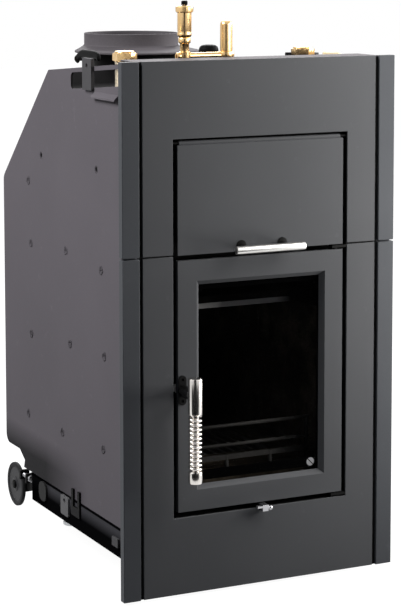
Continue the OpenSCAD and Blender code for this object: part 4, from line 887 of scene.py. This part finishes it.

# %% [markdown]
# ## Plug welds
# Stay pins cross the water jacket and are welded into the side panels. The two upper ones on each
# side show a tapped hole, whose black floor is painted shade, the rest a soft bead with a sunk
# middle. No two beads are alike, so each gets its own low waves round its rim.

# %% Plug welds
spots = np.array([[461, 710], [202, 709], [527, 657], [517, 540], [344, 549], [183, 536],
                  [518, 368], [327, 382], [172, 387], [538, 211], [367, 211], [178, 222]])
tapped = 2


def uneven(k):
    """Ripple of bead k: waves of three and five to a turn, shifted by k."""
    return lambda a, h: 0.7 * np.sin(3 * a + k) + 0.5 * np.sin(5 * a + 2 * k) - 0.6


welds, holes = [], []
for s in (-1, 1):
    for k, (y, z) in enumerate(spots):
        if k < tapped:
            welds.append((lathe([(4.4, s * 214.5), (8, s * 214.5), (8, s * 217.95),
                                 (4.8, s * 217.95), (4.4, s * 217.5)], (0, y, z), "x", 32), True))
            # The hole's floor is a black disc: painted shade.
            holes.append(lathe([(0, s * 214.5), (4.4, s * 214.5), (4.4, s * 216), (0, s * 216)],
                               (0, y, z), "x", 24))
        else:
            welds.append(lathe([(0, s * 214.5), (7, s * 214.5), (8.4, s * 218.02),
                                (8.0, s * 219.0), (6.6, s * 219.2), (4.8, s * 218.1),
                                (2.6, s * 216.4), (0, s * 215.9)], (0, y, z), "x", 24,
                               ripple=uneven(k)))
turned("plug_welds", welds, weld_paint, "root", ("stay_pins",), 60)
turned("tapped_holes", holes, black_paint, "root", ("stay_pins",), 60)
print("plug welds:", len(welds), "of them with a tapped hole:", len(holes))

# %% [markdown]
# ## Seams
# Sheets meet in welds with a fine scale pattern, left by the welder's steps of about 4 mm. A bead
# is a tube whose radius swells a little at each step. One runs round the neck where it leaves the
# slope, two run down the rear edges of the wrap.

# %% Seams
def bead(points, radius=2.0):
    """A weld along straight pieces: radius (1 + 0.16 sin) along the length, a ripple each 4 mm."""
    points = np.asarray(points, float)
    step = np.linalg.norm(np.diff(points, axis=0), axis=1)
    along = np.concatenate([[0], np.cumsum(step)])
    s = np.linspace(0, along[-1], int(along[-1] / 1.6) + 2)
    path = np.stack([np.interp(s, along, points[:, k]) for k in range(3)], axis=-1)
    size = radius * (1 + 0.16 * np.sin(2 * np.pi * s / 4.0))
    return tube(path, size, 8, up=(0.3, 0.9, 0.31))


slope_y, slope_z, rear_y, rear_z = 422, 870, 660, 653
slope = (slope_z - rear_z) / (rear_y - slope_y)
seam_r, steps = 88.6, 70
angle = np.linspace(0, 2 * np.pi, 181)
ring_x, ring_y = seam_r * np.cos(angle), neck_y + seam_r * np.sin(angle)
ring_z = slope_z - slope * (ring_y - slope_y) + 0.3
neck_seam = tube(np.stack([ring_x, ring_y, ring_z], axis=-1), 3.0 + 0.4 * np.sin(angle * steps), 8)
turned("neck_weld", [neck_seam], black_paint, "root", (), 80)
seams = [bead([(s * 214, y, z) for y, z in ((423, 869), (648, 664), (657, 655), (659.5, 645),
                                            (659.5, 152))], 1.6) for s in (-1, 1)]
turned("wrap_seams", seams, body_paint, "root", (), 80)
print("slope of the wrap:", round(math.degrees(math.atan(slope)), 1), "degrees")

# %% [markdown]
# ## Sealing rope
# A round braided rope lies in the channel on the back of the door. Strands wound round each other
# would cost many faces for a piece that shows only when the door is open, so one tube gets three
# lobes that turn along its length. Its path is a rectangle with round corners.

# %% Sealing rope
def round_rectangle(half, low, high, radius, count=400):
    """Points along a rectangle with round corners, evenly by length, and their lengths."""
    corner = np.linspace(0, np.pi / 2, 9)
    centres = [(half - radius, high - radius, 0), (-half + radius, high - radius, np.pi / 2),
               (-half + radius, low + radius, np.pi), (half - radius, low + radius, 1.5 * np.pi)]
    loop = np.concatenate([np.stack([cx + radius * np.cos(corner + t),
                                     cz + radius * np.sin(corner + t)], axis=-1)
                           for cx, cz, t in centres])
    loop = np.concatenate([loop, loop[:1]])
    along = np.concatenate([[0], np.cumsum(np.linalg.norm(np.diff(loop, axis=0), axis=1))])
    s = np.linspace(0, along[-1], count, endpoint=False)
    return np.stack([np.interp(s, along, loop[:, k]) for k in range(2)], axis=-1), s


def rope_ring(half, low, high, y, radius):
    """Section r (cos b, sin b) carried round the path, r = radius (0.93 + 0.07 cos 3(b + s/9)):
    the three lobes turn once in 2 pi 9 mm of length s."""
    path, s = round_rectangle(half, low, high, 10)
    t = np.roll(path, -1, axis=0) - np.roll(path, 1, axis=0)
    t /= np.linalg.norm(t, axis=1, keepdims=True)
    b = round_angles(18)[None, :]
    r = radius * (0.93 + 0.07 * np.cos(3 * (b + s[:, None] / 9.0)))
    side, back = r * np.cos(b), r * np.sin(b)
    return at(path[:, :1] + side * t[:, 1:2], y + back, path[:, 1:2] - side * t[:, :1])


rope = rope_ring(134.5, 167.5, 552, 35.2, 4.0)
turned("door_rope", [(rope, True)], rope_cloth, "door", ("door_gasket",), 80)
print("rope rings:", len(rope))

# %% [markdown]
# ## Pane, fire chamber and ash pan
# These CAD solids already have the right shape, and only the glass shows clearly. They keep it
# and get their finish.

# %% Pane, fire chamber and ash pan
for node, material in (("firebox_shell", soot), ("ash_pan", soot), ("door_glass", pane),
                       ("air_spigot", zinc)):
    refinished(node, material)
print("the pane is finished with:", frame["nodes"]["door_glass"].data.materials[0].name)

# %% [markdown]
# ## Slotted screw
# Screws hold the retainers of the pane, and one shows through the glass, low at the right. Its
# slot could be cut with a Boolean, which leaves long thin faces. Here a disc is a grid of chords,
# and the chords in the middle are sunk: two such grids with a wall between make the screw.

# %% Slotted screw
def open_faces(rows, cols):
    """Quads of a grid that closes on neither side, and the numbers of its points."""
    index = np.arange(rows * cols).reshape(rows, cols)
    corners = index[:-1, :-1], index[:-1, 1:], index[1:, 1:], index[1:, :-1]
    return np.stack(corners, axis=-1).reshape(-1, 4), index


def slab(front, back):
    """Closed shell between two open grids of points with the same rows and columns."""
    rows, cols = front.shape[:2]
    quads, index = open_faces(rows, cols)
    edge = np.concatenate([index[0, :-1], index[:-1, -1], index[-1, :0:-1], index[:0:-1, 0]])
    walls = np.stack([edge, np.roll(edge, -1), np.roll(edge, -1) + rows * cols,
                      edge + rows * cols], axis=-1)
    verts = np.concatenate([front.reshape(-1, 3), back.reshape(-1, 3)])
    return verts, np.concatenate([quads, quads[:, ::-1] + rows * cols, walls]).tolist()


def slotted_disc(x, z, r, front, back, slot=1.6):
    """A screw's end: a disc of chords, each running sqrt(r² - u²) to both sides, whose middle
    columns are sunk by 1.2 mm for the slot; the slot stands at 45 degrees."""
    rim, half = np.cos(np.linspace(0, 1.45, 9)), slot / 2
    u = np.concatenate([-r * rim, [-half, -half - 0.001 * r, half, half + 0.001 * r],
                        r * rim[::-1]])
    u = np.sort(u)
    v = np.sqrt(np.maximum(r * r - u * u, 0.01))[:, None] * np.linspace(-1, 1, 9)[None, :]
    u = u[:, None] + 0 * v
    sunk = np.where(np.abs(u) <= half + 1e-6, 1.2, 0.0) + 0.03 * (u * u + v * v) / (r * r)
    tilt = math.radians(45)
    du, dv = u * math.cos(tilt) - v * math.sin(tilt), u * math.sin(tilt) + v * math.cos(tilt)
    return slab(at(x + du, front + sunk, z + dv), at(x + du, back + 0 * u, z + dv))


verts, faces = slotted_disc(102.5, 202, 7.3, 14.93, 17.2)
piece("pane_screw", verts, faces, old_zinc, "door", ("glass_retainers",))
print("faces of the screw:", len(faces))

# %% [markdown]
# ## Log guard
# A low fence of two round bars, four posts and a flat rail keeps the logs off the glass. The bars
# are lathed and the rail is one four-sided tube. Their colour fades to black towards the right.

# %% Log guard
guard_y = 52
guard = [lathe([(0, -118), (2.6, -118), (3, -117.4), (3, 117.4), (2.6, 118), (0, 118)],
               (0, guard_y, z), "x", 24) for z in (273, 239)]
guard += [lathe([(0, 200), (3.6, 200), (3.6, top - 1), (3, top), (0, top)], (x, guard_y, 0),
                sides=24) for x, top in ((-114, 273), (-42, 222), (42, 222), (114, 273))]
turned("guard_rods", guard, guard_steel, "root", ("log_guard",))
section = np.array([[-3, -4], [3, -4], [3, 4], [-3, 4]], float)
rail_x = np.array([[-118], [118]])
rail = at(rail_x + 0 * section[:, 0], guard_y + section[:, 0] + 0 * rail_x,
          218 + section[:, 1] + 0 * rail_x)
turned("guard_rail", [rail], guard_steel, "root")
print("guard:", len(guard), "rods and a rail")

# %% [markdown]
# ## Camera
# The photograph was taken from the left and a little above, with the verticals kept upright. The
# lens's shift does that, as a catalogue photographer's would: the camera stays nearly level and
# the picture moves instead. Its place, angles and lens were solved from the edges of the front.

# %% Camera
azimuth, elevation, roll = (math.radians(v) for v in (25.95, 5.77, 0.076))
camera = bpy.data.cameras.new("camera")
camera.sensor_width = camera.sensor_height = 36.0
camera.sensor_fit = "AUTO"
camera.lens = 118.71
camera.shift_y = -0.25
camera.clip_start, camera.clip_end = 0.05, 60
view = add_to_scene("camera", camera)
view.location = (-1.5656, -3.2936, 1.0872)
look = Vector((math.sin(azimuth) * math.cos(elevation), math.cos(azimuth) * math.cos(elevation),
               -math.sin(elevation)))
view.rotation_mode = "QUATERNION"
view.rotation_quaternion = (look.to_track_quat("-Z", "Y")
                            @ Matrix.Rotation(-roll, 3, "Z").to_quaternion())
bpy.context.scene.camera = view
bpy.context.scene.view_settings.view_transform = "Standard"
print("camera is", round(view.location.length, 2), "m from the origin")

# %% [markdown]
# ## Floor
# A catalogue picture stands on white. A really white floor would throw light up and wash the
# paint out, so the floor glows white only for the camera, for mirrored rays and for rays that a
# glass lets through. Light that spreads meets a dark floor, which still takes the shadow.

# %% Floor
def shown_directly(tree):
    """1 for rays from the camera and for those mirrored or let through, 0 for other rays."""
    path = tree.nodes.new("ShaderNodeLightPath")
    camera_ray, glossy, through = (Wire(tree, path.outputs[name]) for name in (
        "Is Camera Ray", "Is Glossy Ray", "Is Transmission Ray"))
    return camera_ray.math("MAXIMUM", camera_ray.math("MAXIMUM", camera_ray, glossy), through)


def stage_piece(name, points, faces, material):
    """A flat mesh of the stage, which isn't part of the object."""
    mesh = bpy.data.meshes.new(name)
    mesh.from_pydata(points.reshape(-1, 3).tolist(), [], faces)
    mesh.materials.append(material)
    obj = add_to_scene(name, mesh)
    return obj


paper, tree, shader, place = finish("pale floor", Roughness=0.9, Emission_Strength=1.0)
wear(tree, shader, noise(place, 4.0, 2.0).mix((0.065, 0.065, 0.065), (0.085, 0.085, 0.085)))
glow = shown_directly(tree).mix((0, 0, 0), (0.95, 0.95, 0.95))
tree.links.new(glow.socket, shader.inputs["Emission Color"])
half_floor, floor_z = 14.0, -0.0006
x, y = np.meshgrid(*[np.linspace(-half_floor, half_floor, 3)] * 2)
quads, index = open_faces(3, 3)
stage_piece("floor", np.stack([x, y, 0 * x + floor_z], axis=-1), quads.tolist(), paper)
print("floor", 2 * half_floor, "m wide")

# %% [markdown]
# ## World
# The same mask mixes two backgrounds: plain white where it is seen or mirrored, and a dim bluish
# sky for the light that spreads, which keeps the shaded parts of the grey paint cool.

# %% World
world = bpy.data.worlds.new("studio")
bpy.context.scene.world = world
world.use_nodes = True
tree = world.node_tree
tree.nodes.clear()
out = tree.nodes.new("ShaderNodeOutputWorld")
seen = shown_directly(tree)
dim = seen.node("ShaderNodeBackground", sockets={"Color": (0.55, 0.70, 1.0, 1), "Strength": 0.07})
white = seen.node("ShaderNodeBackground", sockets={"Color": (1, 1, 1, 1), "Strength": 1.0})
mix = seen.node("ShaderNodeMixShader", sockets={0: seen, 1: dim, 2: white})
tree.links.new(mix.socket, out.inputs["Surface"])
print("world nodes:", len(tree.nodes))

# %% [markdown]
# ## Soft lamps
# Soft lamps model the form. Two small warm ones near the right edge give the front its gradient
# from dark left to pale right, and three large far ones light the body, the top and the rear, so
# that the object reads from every side. They are square area lamps that the camera can't see.

# %% Soft lamps
def softbox(name, spot, aim, size, power, colour=(1, 1, 1)):
    """A square area lamp at spot, turned to look at aim."""
    data = bpy.data.lights.new(name, "AREA")
    data.size, data.energy, data.color = size, power, colour
    lamp = add_to_scene(name, data)
    lamp.visible_camera = False
    lamp.location = spot
    lamp.rotation_euler = (Vector(aim) - Vector(spot)).to_track_quat("-Z", "Y").to_euler()


warm = (1.0, 0.98, 0.95)
softbox("left softbox", (-2.2, 0.1, 2.4), (-0.2, 0, 0.5), 1.4, 100)
softbox("near right softbox", (0.74, -0.65, 0.48), (0, -0.35, 0.6), 0.4, 9.5, warm)
softbox("near upper softbox", (0.42, -0.78, 1.04), (0, -0.35, 0.7), 0.5, 6, warm)
softbox("rear softbox", (1.5, 3.5, 3.2), (0, 0, 0.6), 2.0, 120)
softbox("far right softbox", (2.6, -0.1, 1.9), (0, 0, 0.6), 1.6, 110)
print("lamps:", len(bpy.data.lights))

# %% [markdown]
# ## Flag for the grip
# Round polished bars mirror the whole room. A dark card in front of the door, wide below and
# narrow above, gives the grip the dark middle stripe that real steel shows. Photographers call it
# a flag. Only mirrored rays see it, so it throws no shadow.

# %% Flag for the grip
ahead = np.array([-math.sin(azimuth), -math.cos(azimuth), 0])
beside = np.array([math.cos(azimuth), -math.sin(azimuth), 0])
wide, narrow, step_z, top_z = 1.0, 0.20, 0.46, 1.3
across = np.array([-wide, wide, wide, narrow, narrow, -narrow, -narrow, -wide])[:, None]
up = np.array([0, 0, step_z, step_z, top_z, top_z, step_z, step_z])[:, None]
flag_points = (at(grip_x, grip_y - 1, 0) + 0.6 * ahead + across * beside
               + up * np.array([0, 0, 1]))
flag = stage_piece("flag", flag_points, [[0, 1, 2, 3, 6, 7], [3, 4, 5, 6]], black_paint)
flag.visible_camera = flag.visible_diffuse = flag.visible_shadow = False
print("the flag stands at", [round(float(c), 2) for c in flag_points.mean(axis=0)])
